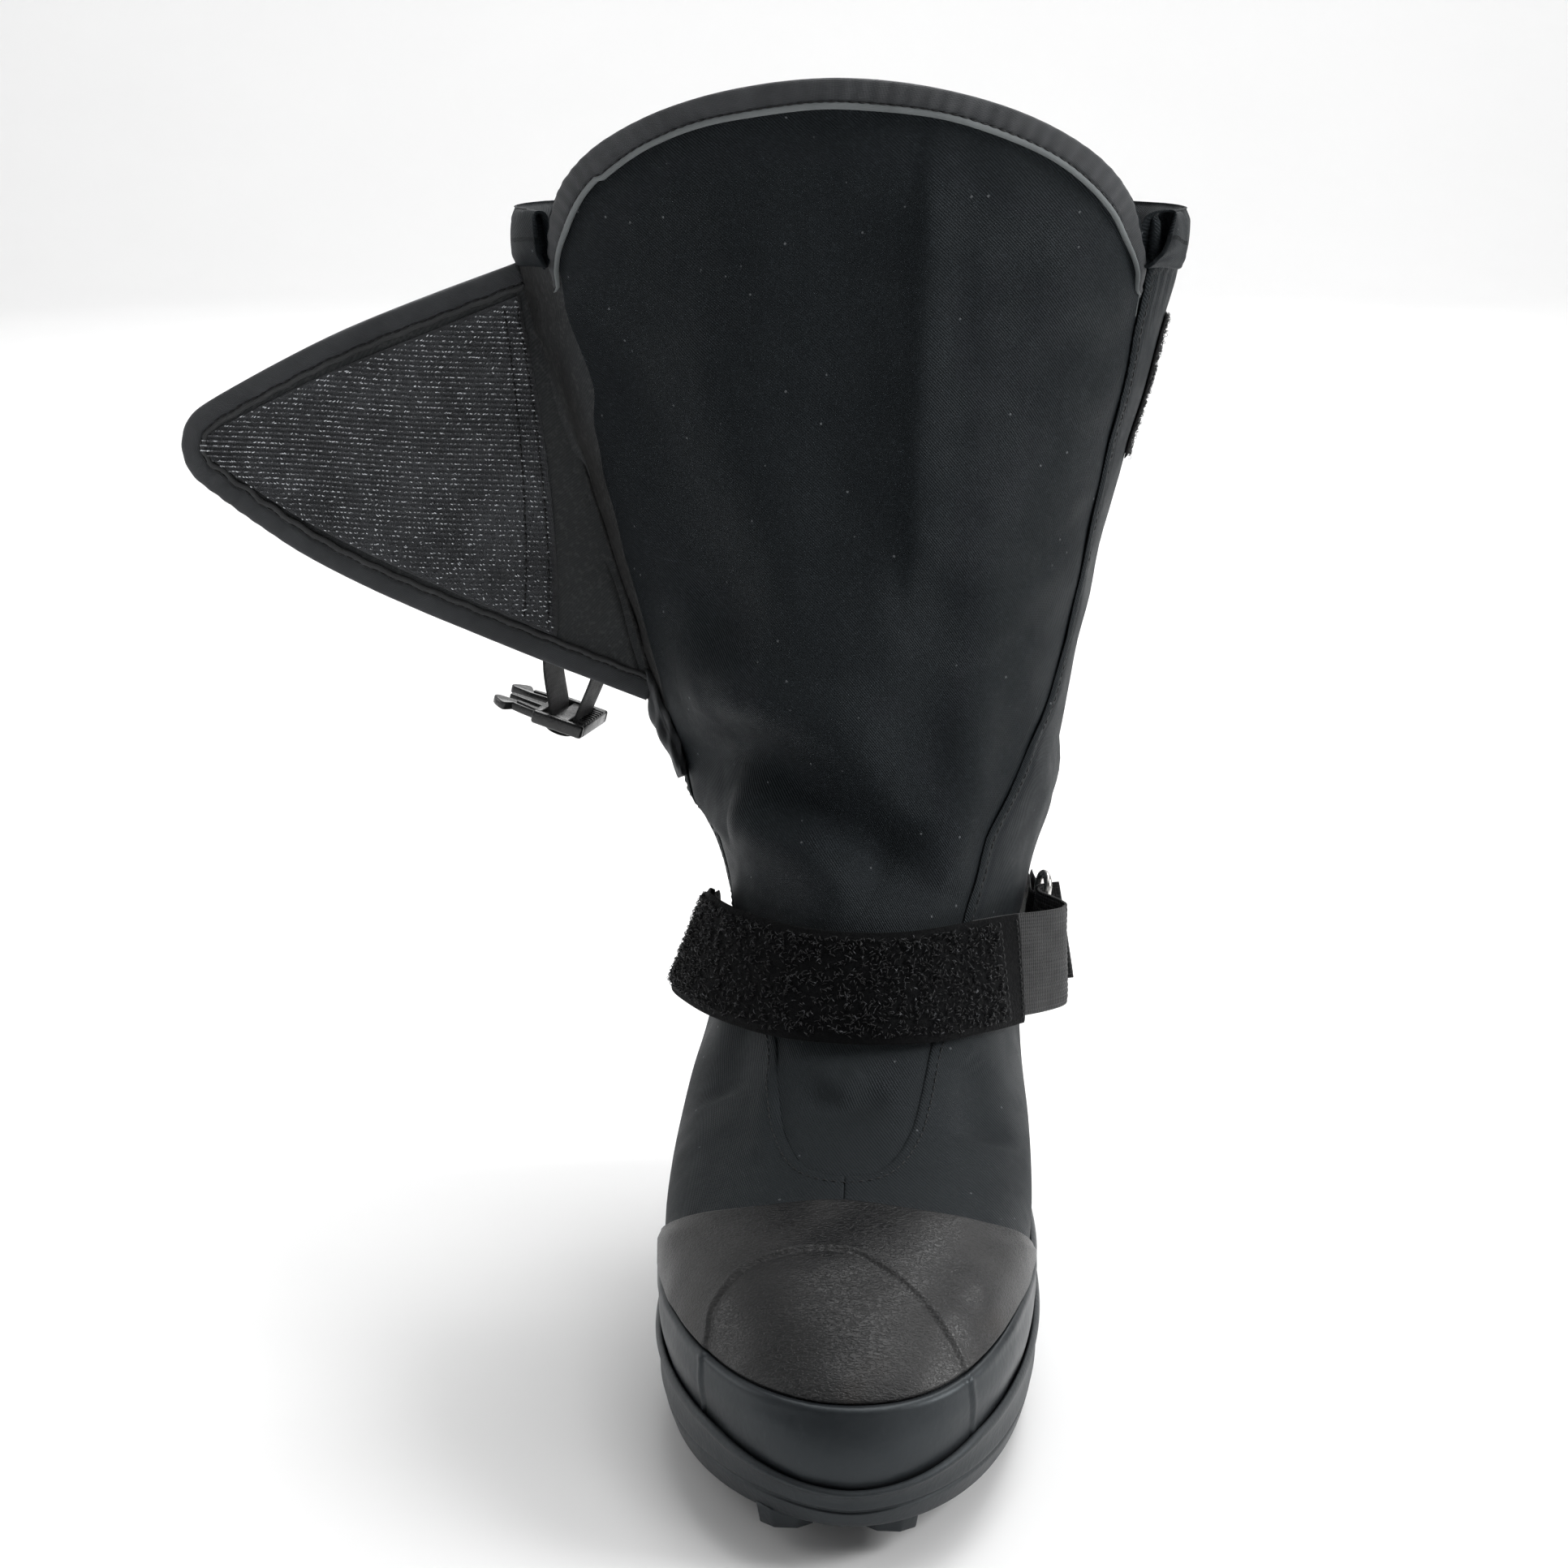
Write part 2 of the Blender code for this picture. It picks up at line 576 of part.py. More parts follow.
def sole_lip(y):
    table = np.array(SOLE_LIP)
    return np.interp(y, table[:, 0], table[:, 1])


def cross_faces(first, cols, half):
    """Faces that close a ring of columns by joining its left side to its right side."""
    faces = []
    for k in range(half):
        ring = [k, k + 1, (cols - k - 1) % cols, (cols - k) % cols]
        faces.append([first + c for c in dict.fromkeys(ring)])
    return faces


def add_lug(work, x, y):
    """One tread lug: a block with cut corners, narrower at the ground and rooted in the sole."""
    loops = []
    root = float(sole_bottom(y)) + LUG_ROOT
    for taper, foot in ((LUG_TAPER, True), (0.0, False)):
        a, b = LUG_WIDE / 2 - taper, LUG_LONG / 2 - taper
        short, narrow = b - LUG_CORNER, a - LUG_CORNER
        half = [(a, short), (narrow, b), (-narrow, b), (-a, short)]
        ring = []
        for dx, dy in half + [(-dx, -dy) for dx, dy in half]:
            height = float(toe_lift(y + dy)) if foot else root
            ring.append(work.verts.new((x + dx, y + dy, height)))
        loops.append(ring)
    low, high = loops
    work.faces.new(low)
    work.faces.new(high[::-1])
    for k in range(len(low)):
        j = (k + 1) % len(low)
        work.faces.new([low[k], high[k], high[j], low[j]])


def build_outsole(finish):
    """Cup sole: stepped wall with a beaded lip, a floor, a raised arch, toe spring and lugs."""
    cols, half = len(COLUMNS), len(RIGHT_SIDE) - 1
    base, tuck, lip = foot_rows(COLUMNS)[:3]
    rows = []
    for step in SOLE_WALL:
        plan = sole_outline(COLUMNS, lip * step.up, step.out)
        low, high = sole_bottom(plan[:, 1]), sole_lip(plan[:, 1])
        rows.append(np.column_stack([plan, low + (high - low) * step.up]))
    clear = 3 * GAP + RAND_THICK
    rows.append(shell(COLUMNS, lip, clear))
    rows.append(shell(COLUMNS, tuck, clear))
    floor = shell(COLUMNS, base, clear)
    floor[:, 2] = last_points(COLUMNS, base)[:, 2] - GAP
    rows.append(floor)
    faces = []
    for row in range(len(rows) - 1):
        for col in range(cols):
            ahead = (col + 1) % cols
            low, high = row * cols, (row + 1) * cols
            faces.append([low + col, low + ahead, high + ahead, high + col])
    faces += cross_faces(0, cols, half) + cross_faces((len(rows) - 1) * cols, cols, half)
    sole = add_part("outsole", np.concatenate(rows), faces, finish)
    add_tread(sole)
    return sole


def add_tread(sole):
    """Joins the lugs to the sole, in rows that follow its outline."""
    edge = sole_outline(np.linspace(0, 1, 200), np.zeros(200), SOLE_WALL[1].out)
    mesh = bpy.data.meshes.new("lugs")
    work = bmesh.new()
    for row in TREAD:
        for x in row.inner:
            add_lug(work, x, row.y)
        if row.outer:
            reach = np.interp(row.y, edge[:, 1], edge[:, 0]) - LUG_WIDE / 2 - LUG_TAPER
            for side in (-1, 1):
                add_lug(work, side * float(reach), row.y)
    bmesh.ops.recalc_face_normals(work, faces=work.faces)
    work.to_mesh(mesh)
    work.free()
    lugs = bpy.data.objects.new("lugs", mesh)
    bpy.context.scene.collection.objects.link(lugs)
    lugs.hide_render = True
    lugs.display_type = "WIRE"
    join = sole.modifiers.new("tread", "BOOLEAN")
    join.operation = "UNION"
    join.object = lugs


def build_insole(finish):
    """Flat footbed on the sole's floor, inside the upper's wall."""
    cols, half = len(COLUMNS), len(RIGHT_SIDE) - 1
    clear = UPPER_WALL + 2 * GAP
    plan = shell(COLUMNS, np.full(cols, INSOLE_ROW), -clear)
    floor = last_points(COLUMNS, 0.0)[:, 2] + GAP
    low = np.column_stack([plan[:, :2], floor])
    high = low + (0, 0, INSOLE_THICK)
    faces = [[c, (c + 1) % cols, cols + (c + 1) % cols, cols + c] for c in range(cols)]
    faces += cross_faces(0, cols, half) + cross_faces(cols, cols, half)
    return add_part("insole", np.concatenate([low, high]), faces, finish)


def build_bellows_binding(finish):
    """Folded tape over the arched top edge of the bellows."""
    u = np.sort(COLUMNS[np.abs(COLUMNS) <= TAPE_END + EDGE_SLACK])
    top = collar_station(u)
    half = UPPER_WALL / 2
    edge = last_points(u, top)
    inward = unit(np.cross(np.gradient(edge, axis=0), last_normals(u, top)))
    inward = inward * -np.sign(inward[:, 2:])
    across = (last_points(u + 0.01, top) - last_points(u - 0.01, top)) / 0.02
    rising = (last_points(u, top + 0.1) - last_points(u, top - 0.1)) / 0.2
    step_u = BINDING_WIDTH * (inward * across).sum(1) / (across**2).sum(1)
    step_t = BINDING_WIDTH * (inward * rising).sum(1) / (rising**2).sum(1)

    def place(share, off):
        return shell(u + share * step_u, top + share * step_t, off - half)

    return add_binding("bellows_binding", place, half + GAP, finish)


def build_loop_patch(finish):
    """Soft fastener patch on the outer side of the leg, where the flap's tip closes."""
    u = COLUMNS[(COLUMNS > PATCH_COLUMNS[0]) & (COLUMNS < PATCH_COLUMNS[1])]
    low, high = (station_where(u, 2, z, LEG_ROW, TOP_STATION) for z in PATCH_HEIGHTS)
    stations = np.linspace(low, high, PATCH_LINES)
    outer = shell(u[None, :], stations, 2 * GAP + PATCH_THICK)
    inner = shell(u[None, :], stations, 2 * GAP)
    return add_shell("loop_patch", outer, inner, finish)


def flap_points(q, p):
    """Middle surface of the folded-out flap: q from its tip to its root, p from top to bottom."""
    q, p = np.broadcast_arrays(np.asarray(q, float), np.asarray(p, float))
    flat_q, flat_p = q.ravel(), p.ravel()
    run = flat_q * (len(FLAP_TOP) - 1)
    top, bottom = smooth_rows(FLAP_TOP, run), smooth_rows(FLAP_BOTTOM, run)
    plane = top + (bottom - top) * flat_p[:, None]
    root_z = FLAP_TOP[-1].z + (FLAP_BOTTOM[-1].z - FLAP_TOP[-1].z) * flat_p
    heights = np.linspace(FLAP_BOTTOM[-1].z, FLAP_TOP[-1].z, 25)
    column = np.full(len(heights), FLAP_ROOT_U)
    stations = station_where(column, 2, heights, FLAP_LOW_ROW, TOP_STATION)
    seat = shell(column, stations, 2 * GAP + FLAP_THICK / 2)
    root = np.stack([np.interp(root_z, heights, seat[:, axis]) for axis in range(3)], 1)
    root_top, root_bottom = np.array(FLAP_TOP[-1]), np.array(FLAP_BOTTOM[-1])
    straight = root_top + flat_p[:, None] * (root_bottom - root_top)
    pull = flat_q[:, None] ** FLAP_PULL
    plane = plane + (root[:, [0, 2]] - straight) * pull
    bow = FLAP_BOW * np.sin(math.pi * flat_q) ** 2 * (1 - 0.5 * flat_p)
    y = FLAP_TIP_Y + (root[:, 1] - FLAP_TIP_Y) * flat_q**2 - bow
    return np.column_stack([plane[:, 0], y, plane[:, 1]]).reshape(*q.shape, 3)


def flap_normals(q, p):
    """Unit normals of the flap, towards the boot's front."""
    q, p = np.broadcast_arrays(np.asarray(q, float), np.asarray(p, float))
    step = 0.01
    along = flap_points(np.clip(q + step, 0, 1), p) - flap_points(np.clip(q - step, 0, 1), p)
    down = flap_points(q, np.clip(p + step, 0, 1)) - flap_points(q, np.clip(p - step, 0, 1))
    return unit(np.cross(down, along))


def flap_layer(q, p, offset):
    return flap_points(q, p) + flap_normals(q, p) * offset


def build_flap(finish):
    """Closing flap, sewn to the inner side of the leg and folded outward."""
    q, p = FLAP_Q[:, None], np.linspace(0, 1, FLAP_LINES)[None, :]
    front, back = flap_layer(q, p, FLAP_THICK / 2), flap_layer(q, p, -FLAP_THICK / 2)
    return add_shell("closure_flap", front, back, finish)


def build_flap_binding(finish):
    """Folded tape round the flap's free edges, from the root over the tip and back."""
    free = FLAP_Q[FLAP_Q < TAPE_STOP_Q]
    q = np.concatenate([free[::-1], free])
    p = np.concatenate([np.zeros(len(free)), np.ones(len(free))])
    tall = np.linalg.norm(flap_points(q, 0.0) - flap_points(q, 1.0), axis=-1)
    step_p = np.minimum(TAPE_SIDE * BINDING_WIDTH / tall, TAPE_SIDE_MOST) * (1 - 2 * p)
    step_q = TAPE_TIP * np.exp(-q / TAPE_TIP_FADE)

    def place(share, off):
        return flap_layer(q + share * step_q, p + share * step_p, off)

    return add_binding("flap_binding", place, FLAP_THICK / 2, finish)


def build_hook_patch(finish):
    """Hooked fastener patch on the flap's inner face, clear of the tape and of the fold."""
    share, drop = np.linspace(0, 1, HOOK_COLUMNS)[:, None], np.linspace(0, 1, HOOK_LINES)[None, :]
    q = HOOK_TIP_Q + (HOOK_FOLD_Q - HOOK_SLANT * drop - HOOK_TIP_Q) * share
    tall = np.linalg.norm(flap_points(q, 0.0) - flap_points(q, 1.0), axis=-1)
    margin = HOOK_MARGIN * (BINDING_WIDTH + GAP) / tall
    p = margin + (1 - 2 * margin) * drop
    low = FLAP_THICK / 2 + HOOK_LIFT * GAP
    front, back = flap_layer(q, p, low + PATCH_THICK), flap_layer(q, p, low)
    return add_shell("hook_patch", front, back, finish)


def wire_ring(corner_points, radius, sides):
    """Loops of a round wire along a closed polygon of points."""
    points = np.array(corner_points)
    ahead = unit(np.roll(points, -1, 0) - np.roll(points, 1, 0))
    plane = unit(np.cross(points[1] - points[0], points[len(points) // 3] - points[0]))
    side = np.cross(ahead, plane)
    angles = np.linspace(0, 2 * math.pi, sides, endpoint=False)
    return np.stack([points + radius * (side * math.cos(a) + plane * math.sin(a)) for a in angles], 1)


def build_strap_ring(finish):
    """Metal ring that the strap's elastic turns round: an upright rounded rectangle of wire."""
    across = RING_OUTER_BAR - RING_INNER_BAR
    half_across, half_up = across.length / 2, RING_HEIGHT / 2
    side, up = across.normalized(), RING_UP.normalized()
    middle = (RING_OUTER_BAR + RING_INNER_BAR) / 2
    path = []
    for quarter, (sx, sz) in enumerate(((1, 1), (-1, 1), (-1, -1), (1, -1))):
        for k in range(4):
            angle = math.pi / 2 * (quarter + k / 3)
            a = sx * (half_across - RING_CORNER) + RING_CORNER * math.cos(angle)
            b = sz * (half_up - RING_CORNER) + RING_CORNER * math.sin(angle)
            path.append(middle + side * a + up * b)
    return add_sweep("strap_ring", wire_ring(path, RING_WIRE, 8), finish, ring=True)


def block(work, low, high):
    """An upright box from its two corners."""
    made = bmesh.ops.create_cube(work, size=1)["verts"]
    for v in made:
        v.co = Vector((low[k] if v.co[k] < 0 else high[k] for k in range(3)))


def hidden_blocks(name, boxes, parent):
    """Guide object of boxes that cut or join another piece."""
    mesh = bpy.data.meshes.new(name)
    work = bmesh.new()
    for low, high in boxes:
        block(work, low, high)
    work.to_mesh(mesh)
    work.free()
    made = bpy.data.objects.new(name, mesh)
    bpy.context.scene.collection.objects.link(made)
    made.parent = parent
    made.hide_render = True
    made.display_type = "WIRE"
    return made


def slot_centres():
    """Where the webbing passes through the buckle's frame, along its length."""
    return -(BAR_LONG + SLOT_LONG) / 2, (BAR_LONG + SLOT_LONG) / 2


def prong(side):
    """Plan outline of one springy prong, with its barb on the outer side."""
    return [(-FRAME_LONG / 2 - p.along, side * (BUCKLE_WIDE / 2 - p.inset)) for p in PRONG]


def middle_guide():
    """Plan outline of the straight guide between the prongs."""
    root, tip = GUIDE_ROOT - FRAME_LONG / 2, -GUIDE_LONG - FRAME_LONG / 2
    plan = [(root, GUIDE_HALF_ROOT), (tip, GUIDE_HALF_TIP)]
    return plan + [(x, -y) for x, y in plan[::-1]]


def add_prism(work, plan, half_deep):
    """A closed prism from a plan outline."""
    low = [work.verts.new((x, y, -half_deep)) for x, y in plan]
    high = [work.verts.new((x, y, half_deep)) for x, y in plan]
    work.faces.new(low)
    work.faces.new(high[::-1])
    for k in range(len(plan)):
        j = (k + 1) % len(plan)
        work.faces.new([low[k], low[j], high[j], high[k]])


def build_buckle(finish):
    """Male half of a side-release buckle: slotted frame, two prongs and a middle guide."""
    half_wide, half_deep, half_long = BUCKLE_WIDE / 2, BUCKLE_DEEP / 2, FRAME_LONG / 2
    mesh = bpy.data.meshes.new("buckle")
    work = bmesh.new()
    block(work, (-half_long, -half_wide, -half_deep), (half_long, half_wide, half_deep))
    bmesh.ops.bevel(work, geom=work.edges[:], offset=BUCKLE_BEVEL, segments=1, affect="EDGES")
    work.to_mesh(mesh)
    work.free()
    mesh.materials.append(finish)
    buckle = bpy.data.objects.new("buckle", mesh)
    bpy.context.scene.collection.objects.link(buckle)
    half_slot, half_gap = WEBBING_WIDTH / 2 + SLOT_PLAY, SLOT_LONG / 2
    slots = []
    for x in slot_centres():
        slots.append(((x - half_gap, -half_slot, -BUCKLE_DEEP), (x + half_gap, half_slot, BUCKLE_DEEP)))
    fingers_mesh = bpy.data.meshes.new("buckle_fingers")
    work = bmesh.new()
    for side in (-1, 1):
        add_prism(work, prong(side), half_deep * PRONG_DEEP)
    add_prism(work, middle_guide(), half_deep * GUIDE_DEEP)
    bmesh.ops.recalc_face_normals(work, faces=work.faces)
    work.to_mesh(fingers_mesh)
    work.free()
    fingers = bpy.data.objects.new("buckle_fingers", fingers_mesh)
    bpy.context.scene.collection.objects.link(fingers)
    fingers.parent = buckle
    fingers.hide_render = True
    fingers.display_type = "WIRE"
    openings = hidden_blocks("buckle_slots", slots, buckle)
    for guide, operation in ((openings, "DIFFERENCE"), (fingers, "UNION")):
        cut = buckle.modifiers.new(guide.name, "BOOLEAN")
        cut.operation = operation
        cut.object = guide
    buckle.location = BUCKLE_AT
    buckle.rotation_euler = BUCKLE_TURN
    return buckle


def build_buckle_webbing(finish):
    """Narrow webbing hung from the leg's inner side, down round the buckle's bar and back up."""
    place = Matrix.LocRotScale(BUCKLE_AT, Euler(BUCKLE_TURN), None)
    near, far = slot_centres()
    drop = BUCKLE_DEEP / 2 + TURN_CLEAR
    turns = np.linspace(0, math.pi, TURN_STEPS)
    local = [(near, TURN_RISE), (near, 0.0)]
    local += [(near * math.cos(a), -drop - TURN_DROP * math.sin(a)) for a in turns]
    local += [(far, 0.0), (far, TURN_RISE)]
    through = np.array([tuple(place @ Vector((x, 0, z))) for x, z in local])
    across = np.array(place.to_3x3() @ Vector((0, 1, 0)))
    heights = np.linspace(*TAB_HEIGHTS, TAB_LINES)
    column = np.full(len(heights), TAB_U)
    stations = station_where(column, 2, heights, LEG_ROW, TOP_STATION)
    layer = WEBBING_THICK / 2 + 3 * GAP
    over = shell(column, stations, layer + WEBBING_THICK + GAP)
    under = shell(column, stations, layer)[::-1]
    hang = np.array([(x, BUCKLE_AT.y, z) for x, z in TAB_HANG])
    back_up = np.array([(x, BUCKLE_AT.y, z) for x, z in TAB_RETURN])
    centres = np.concatenate([over, hang, through, back_up, under])
    sewn = np.tile((0.0, 1.0, 0.0), (len(heights), 1))
    hung = np.tile(across, (len(centres) - 2 * len(heights), 1))
    ups = np.concatenate([sewn, hung, sewn])
    at = np.linspace(0, len(centres) - 1, ROUTE_STEPS * (len(centres) - 1) + 1)
    rows = smooth_rows(np.column_stack([centres, ups]), at)
    loops = band_loops(rows[:, :3], rows[:, 3:], WEBBING_WIDTH, WEBBING_THICK)
    return add_sweep("buckle_webbing", loops, finish)


def main():
    for old in list(bpy.data.objects):
        bpy.data.objects.remove(old)
    nylon = material("nylon", (0.014, 0.015, 0.017), 0.62)
    tape = material("binding_tape", (0.020, 0.021, 0.023), 0.58)
    rubber = material("rubber", (0.022, 0.023, 0.025), 0.52)
    sole_rubber = material("sole_rubber", (0.018, 0.018, 0.020), 0.60)
    cap_rubber = material("cap_rubber", (0.026, 0.026, 0.027), 0.45)
    pile = material("pile", (0.006, 0.006, 0.007), 0.95)
    hooks = material("hooks", (0.020, 0.021, 0.024), 0.55)
    elastic = material("elastic", (0.040, 0.039, 0.038), 0.75)
    webbing = material("webbing", (0.010, 0.010, 0.011), 0.70)
    plastic = material("plastic", (0.010, 0.011, 0.012), 0.35)
    steel = material("steel", (0.55, 0.54, 0.52), 0.28, 1.0)
    foam = material("foam", (0.030, 0.030, 0.032), 0.90)
    build_outsole(sole_rubber)
    build_insole(foam)
    build_upper(nylon)
    build_rand(rubber)
    build_toe_cap(cap_rubber)
    build_bellows_binding(tape)
    build_loop_patch(pile)
    build_flap(nylon)
    build_flap_binding(tape)
    build_hook_patch(hooks)
    add_band("ankle_strap", STRAP_ROUTE, STRAP_WIDTH, STRAP_THICK, pile)
    add_band("strap_elastic", ELASTIC_ROUTE, ELASTIC_WIDTH, ELASTIC_THICK, elastic)
    build_strap_ring(steel)
    add_band("ring_loop", LOOP_ROUTE, LOOP_WIDTH, WEBBING_THICK, webbing)
    build_buckle(plastic)
    build_buckle_webbing(webbing)


main()
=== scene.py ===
import math

import bmesh
import bpy
import numpy as np
from mathutils import Euler, Matrix, Vector


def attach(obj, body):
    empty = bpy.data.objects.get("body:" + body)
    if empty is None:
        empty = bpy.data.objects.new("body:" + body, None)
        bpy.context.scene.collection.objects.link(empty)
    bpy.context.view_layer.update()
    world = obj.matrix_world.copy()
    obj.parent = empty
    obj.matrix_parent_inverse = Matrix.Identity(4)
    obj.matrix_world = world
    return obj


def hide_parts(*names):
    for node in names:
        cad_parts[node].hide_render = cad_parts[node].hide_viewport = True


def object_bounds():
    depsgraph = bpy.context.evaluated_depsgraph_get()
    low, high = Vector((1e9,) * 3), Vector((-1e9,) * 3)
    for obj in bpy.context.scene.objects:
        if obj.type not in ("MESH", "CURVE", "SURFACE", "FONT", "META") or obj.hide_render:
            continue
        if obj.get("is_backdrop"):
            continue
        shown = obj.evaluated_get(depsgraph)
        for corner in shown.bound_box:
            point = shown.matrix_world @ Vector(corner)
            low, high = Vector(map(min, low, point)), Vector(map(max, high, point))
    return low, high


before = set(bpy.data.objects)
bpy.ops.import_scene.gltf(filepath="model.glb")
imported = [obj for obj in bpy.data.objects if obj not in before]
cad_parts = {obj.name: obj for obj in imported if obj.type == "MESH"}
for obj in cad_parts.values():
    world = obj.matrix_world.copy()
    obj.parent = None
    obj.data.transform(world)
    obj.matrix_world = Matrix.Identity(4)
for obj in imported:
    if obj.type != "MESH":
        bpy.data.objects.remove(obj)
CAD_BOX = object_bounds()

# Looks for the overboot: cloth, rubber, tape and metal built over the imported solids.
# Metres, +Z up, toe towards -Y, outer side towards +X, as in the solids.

RANDOM = np.random.default_rng(7)

# Sizes shared with the solids.
GAP = 0.0003
BALL_Y = -0.175
TOE_Y = -0.2795
TOE_SPRING = 0.011
TOE_SWING = 0.006
TUCK_STATION = 0.3
COLLAR_HEIGHT = 0.386
SEAM_TOP = 0.362
SEAM_EDGE = 0.365
ARCH_RISE = 0.067
ARCH_POWER = 1.85
UPPER_WALL = 0.0022
RAND_THICK = 0.0020
CAP_THICK = 0.0018
PATCH_THICK = 0.0012
FLAP_THICK = 0.0022
INSOLE_THICK = 0.004
LUG_DEPTH = 0.005
ARCH_LIFT = 0.006
HEM_HEIGHT = 0.020
HEM_BULGE = 0.0022
BINDING_WIDTH = 0.008
BINDING_SKIN = 0.0008
STRAP_WIDTH = 0.038
STRAP_TAB = 0.010
STRAP_THICK = 0.0020
ELASTIC_WIDTH = 0.036
ELASTIC_THICK = 0.0014
LOOP_WIDTH = 0.028
WEBBING_WIDTH = 0.018
WEBBING_THICK = 0.0012
RING_WIRE = 0.0015

# The last, one row for each section, as in the solids: y and z in front, y and z behind, half width,
# y of the widest place, heel's share of the width, powers of the curve in front and behind, centre x.
LAST = np.array([
    (-0.2690, 0.0120, 0.0410, 0.0180, 0.0560, -0.152, 0.68, 1.75, 3.0, 0.0015),
    (-0.2743, 0.0230, 0.0435, 0.0290, 0.0576, -0.152, 0.69, 1.95, 3.0, 0.0015),
    (-0.2733, 0.0340, 0.0447, 0.0390, 0.0584, -0.152, 0.70, 2.1, 2.9, 0.0015),
    (-0.2664, 0.0445, 0.0452, 0.0480, 0.0598, -0.152, 0.71, 2.3, 2.9, 0.0015),
    (-0.2533, 0.0560, 0.0454, 0.0560, 0.0600, -0.150, 0.70, 2.25, 2.8, 0.001),
    (-0.2360, 0.0675, 0.0453, 0.0630, 0.0608, -0.140, 0.71, 2.3, 2.7, 0.001),
    (-0.2160, 0.0770, 0.0450, 0.0690, 0.0606, -0.125, 0.73, 2.2, 2.7, 0.001),
    (-0.1900, 0.0845, 0.0445, 0.0750, 0.0598, -0.105, 0.75, 2.2, 2.6, 0.001),
    (-0.1660, 0.0935, 0.0437, 0.0820, 0.0582, -0.085, 0.78, 2.1, 2.5, 0.001),
    (-0.1460, 0.1070, 0.0425, 0.0900, 0.0559, -0.066, 0.82, 2.1, 2.4, 0.002),
    (-0.1300, 0.1250, 0.0412, 0.1000, 0.0539, -0.052, 0.86, 2.1, 2.3, 0.003),
    (-0.1180, 0.1470, 0.0402, 0.1130, 0.0536, -0.042, 0.90, 2.1, 2.2, 0.0035),
    (-0.1090, 0.1710, 0.0400, 0.1300, 0.0580, -0.036, 0.94, 2.1, 2.2, 0.0035),
    (-0.1030, 0.1970, 0.0412, 0.1520, 0.0655, -0.031, 0.98, 2.1, 2.2, 0.0025),
    (-0.0995, 0.2260, 0.0435, 0.1800, 0.0715, -0.028, 1.00, 2.1, 2.2, 0.000),
    (-0.0985, 0.2590, 0.0463, 0.2140, 0.0790, -0.026, 1.00, 2.1, 2.2, -0.002),
    (-0.0990, 0.2950, 0.0492, 0.2540, 0.0890, -0.025, 1.00, 2.1, 2.2, -0.004),
    (-0.1000, 0.3320, 0.0520, 0.2980, 0.1005, -0.024, 1.00, 2.1, 2.2, -0.005),
    (-0.1010, 0.3640, 0.0545, 0.3400, 0.1105, -0.023, 1.00, 2.1, 2.2, -0.006),
    (-0.1020, 0.3960, 0.0565, 0.3800, 0.1180, -0.022, 1.00, 2.1, 2.2, -0.007),
    (-0.1030, 0.4330, 0.0590, 0.4250, 0.1250, -0.022, 1.00, 2.1, 2.2, -0.007),
])
TOP_STATION = len(LAST) - 1
RING_STEPS = 241
CHUNK = 12000
STEP_U, STEP_T = 0.006, 0.03
SEARCH_STEPS = 161
LEG_ROW = 14
LIP_ROW = 4

# Bellows seam, a U over the vamp: row of the last, and share of the way round to the outer and inner side.
SEAM = np.array([
    (0.0, 0.0, 0.0), (7.40, 0.0, 0.0), (7.41, 0.014, 0.016), (7.44, 0.028, 0.031),
    (7.50, 0.041, 0.045), (7.62, 0.054, 0.058), (7.85, 0.069, 0.073), (8.20, 0.085, 0.090),
    (8.80, 0.100, 0.108), (9.45, 0.114, 0.128), (10.1, 0.140, 0.165), (10.6, 0.160, 0.225),
    (11.1, 0.180, 0.310), (11.75, 0.200, 0.385), (12.45, 0.222, 0.425), (13.2, 0.275, 0.435),
    (14.0, 0.345, 0.432), (14.75, 0.385, 0.425), (15.55, 0.395, 0.415), (16.4, 0.386, 0.405),
    (17.6, 0.378, 0.385), (18.3, 0.372, 0.372), (19.0, 0.365, 0.365), (20.0, 0.360, 0.360),
])

RAND_TOE_ROW, RAND_SIDE_RISE, RAND_RISE_END = 2.84, 1.05, 0.26
CAP_FIRST_STEP, CAP_CREST_ROW, CAP_SIDE_DROP, CAP_CORNER, CAP_CURVE = 0.04, 6.9, 2.9, 0.35, 1.7
CAP_END = 0.335

# Section of the sole's wall: out from the last, and up as a share of the way to the lip.
SOLE_WALL = [
    (-0.0060, 0.00), (0.0014, 0.00), (0.0026, 0.012), (0.0036, 0.035), (0.0042, 0.07),
    (0.0045, 0.14), (0.0047, 0.25), (0.0047, 0.335), (0.0044, 0.362), (0.0039, 0.38),
    (0.0037, 0.41), (0.0040, 0.445), (0.0046, 0.465), (0.0049, 0.50), (0.0046, 0.56),
    (0.0042, 0.64), (0.0041, 0.72), (0.0042, 0.79), (0.0045, 0.84), (0.0050, 0.88), (0.0053, 0.92),
    (0.0052, 0.955), (0.0047, 0.985), (0.0040, 1.003), (0.0034, 1.003),
]
# Height of the sole's lip along the foot, as y and z.
SOLE_LIP = np.array([
    (-0.2795, 0.0285), (-0.2650, 0.0320), (-0.2480, 0.0355), (-0.2200, 0.0370), (-0.1750, 0.0365),
    (0.0500, 0.0385),
])
WAIST_FRONT_Y, WAIST_FRONT_RUN = -0.108, 0.020
WAIST_BACK_Y, WAIST_BACK_RUN = -0.042, 0.016
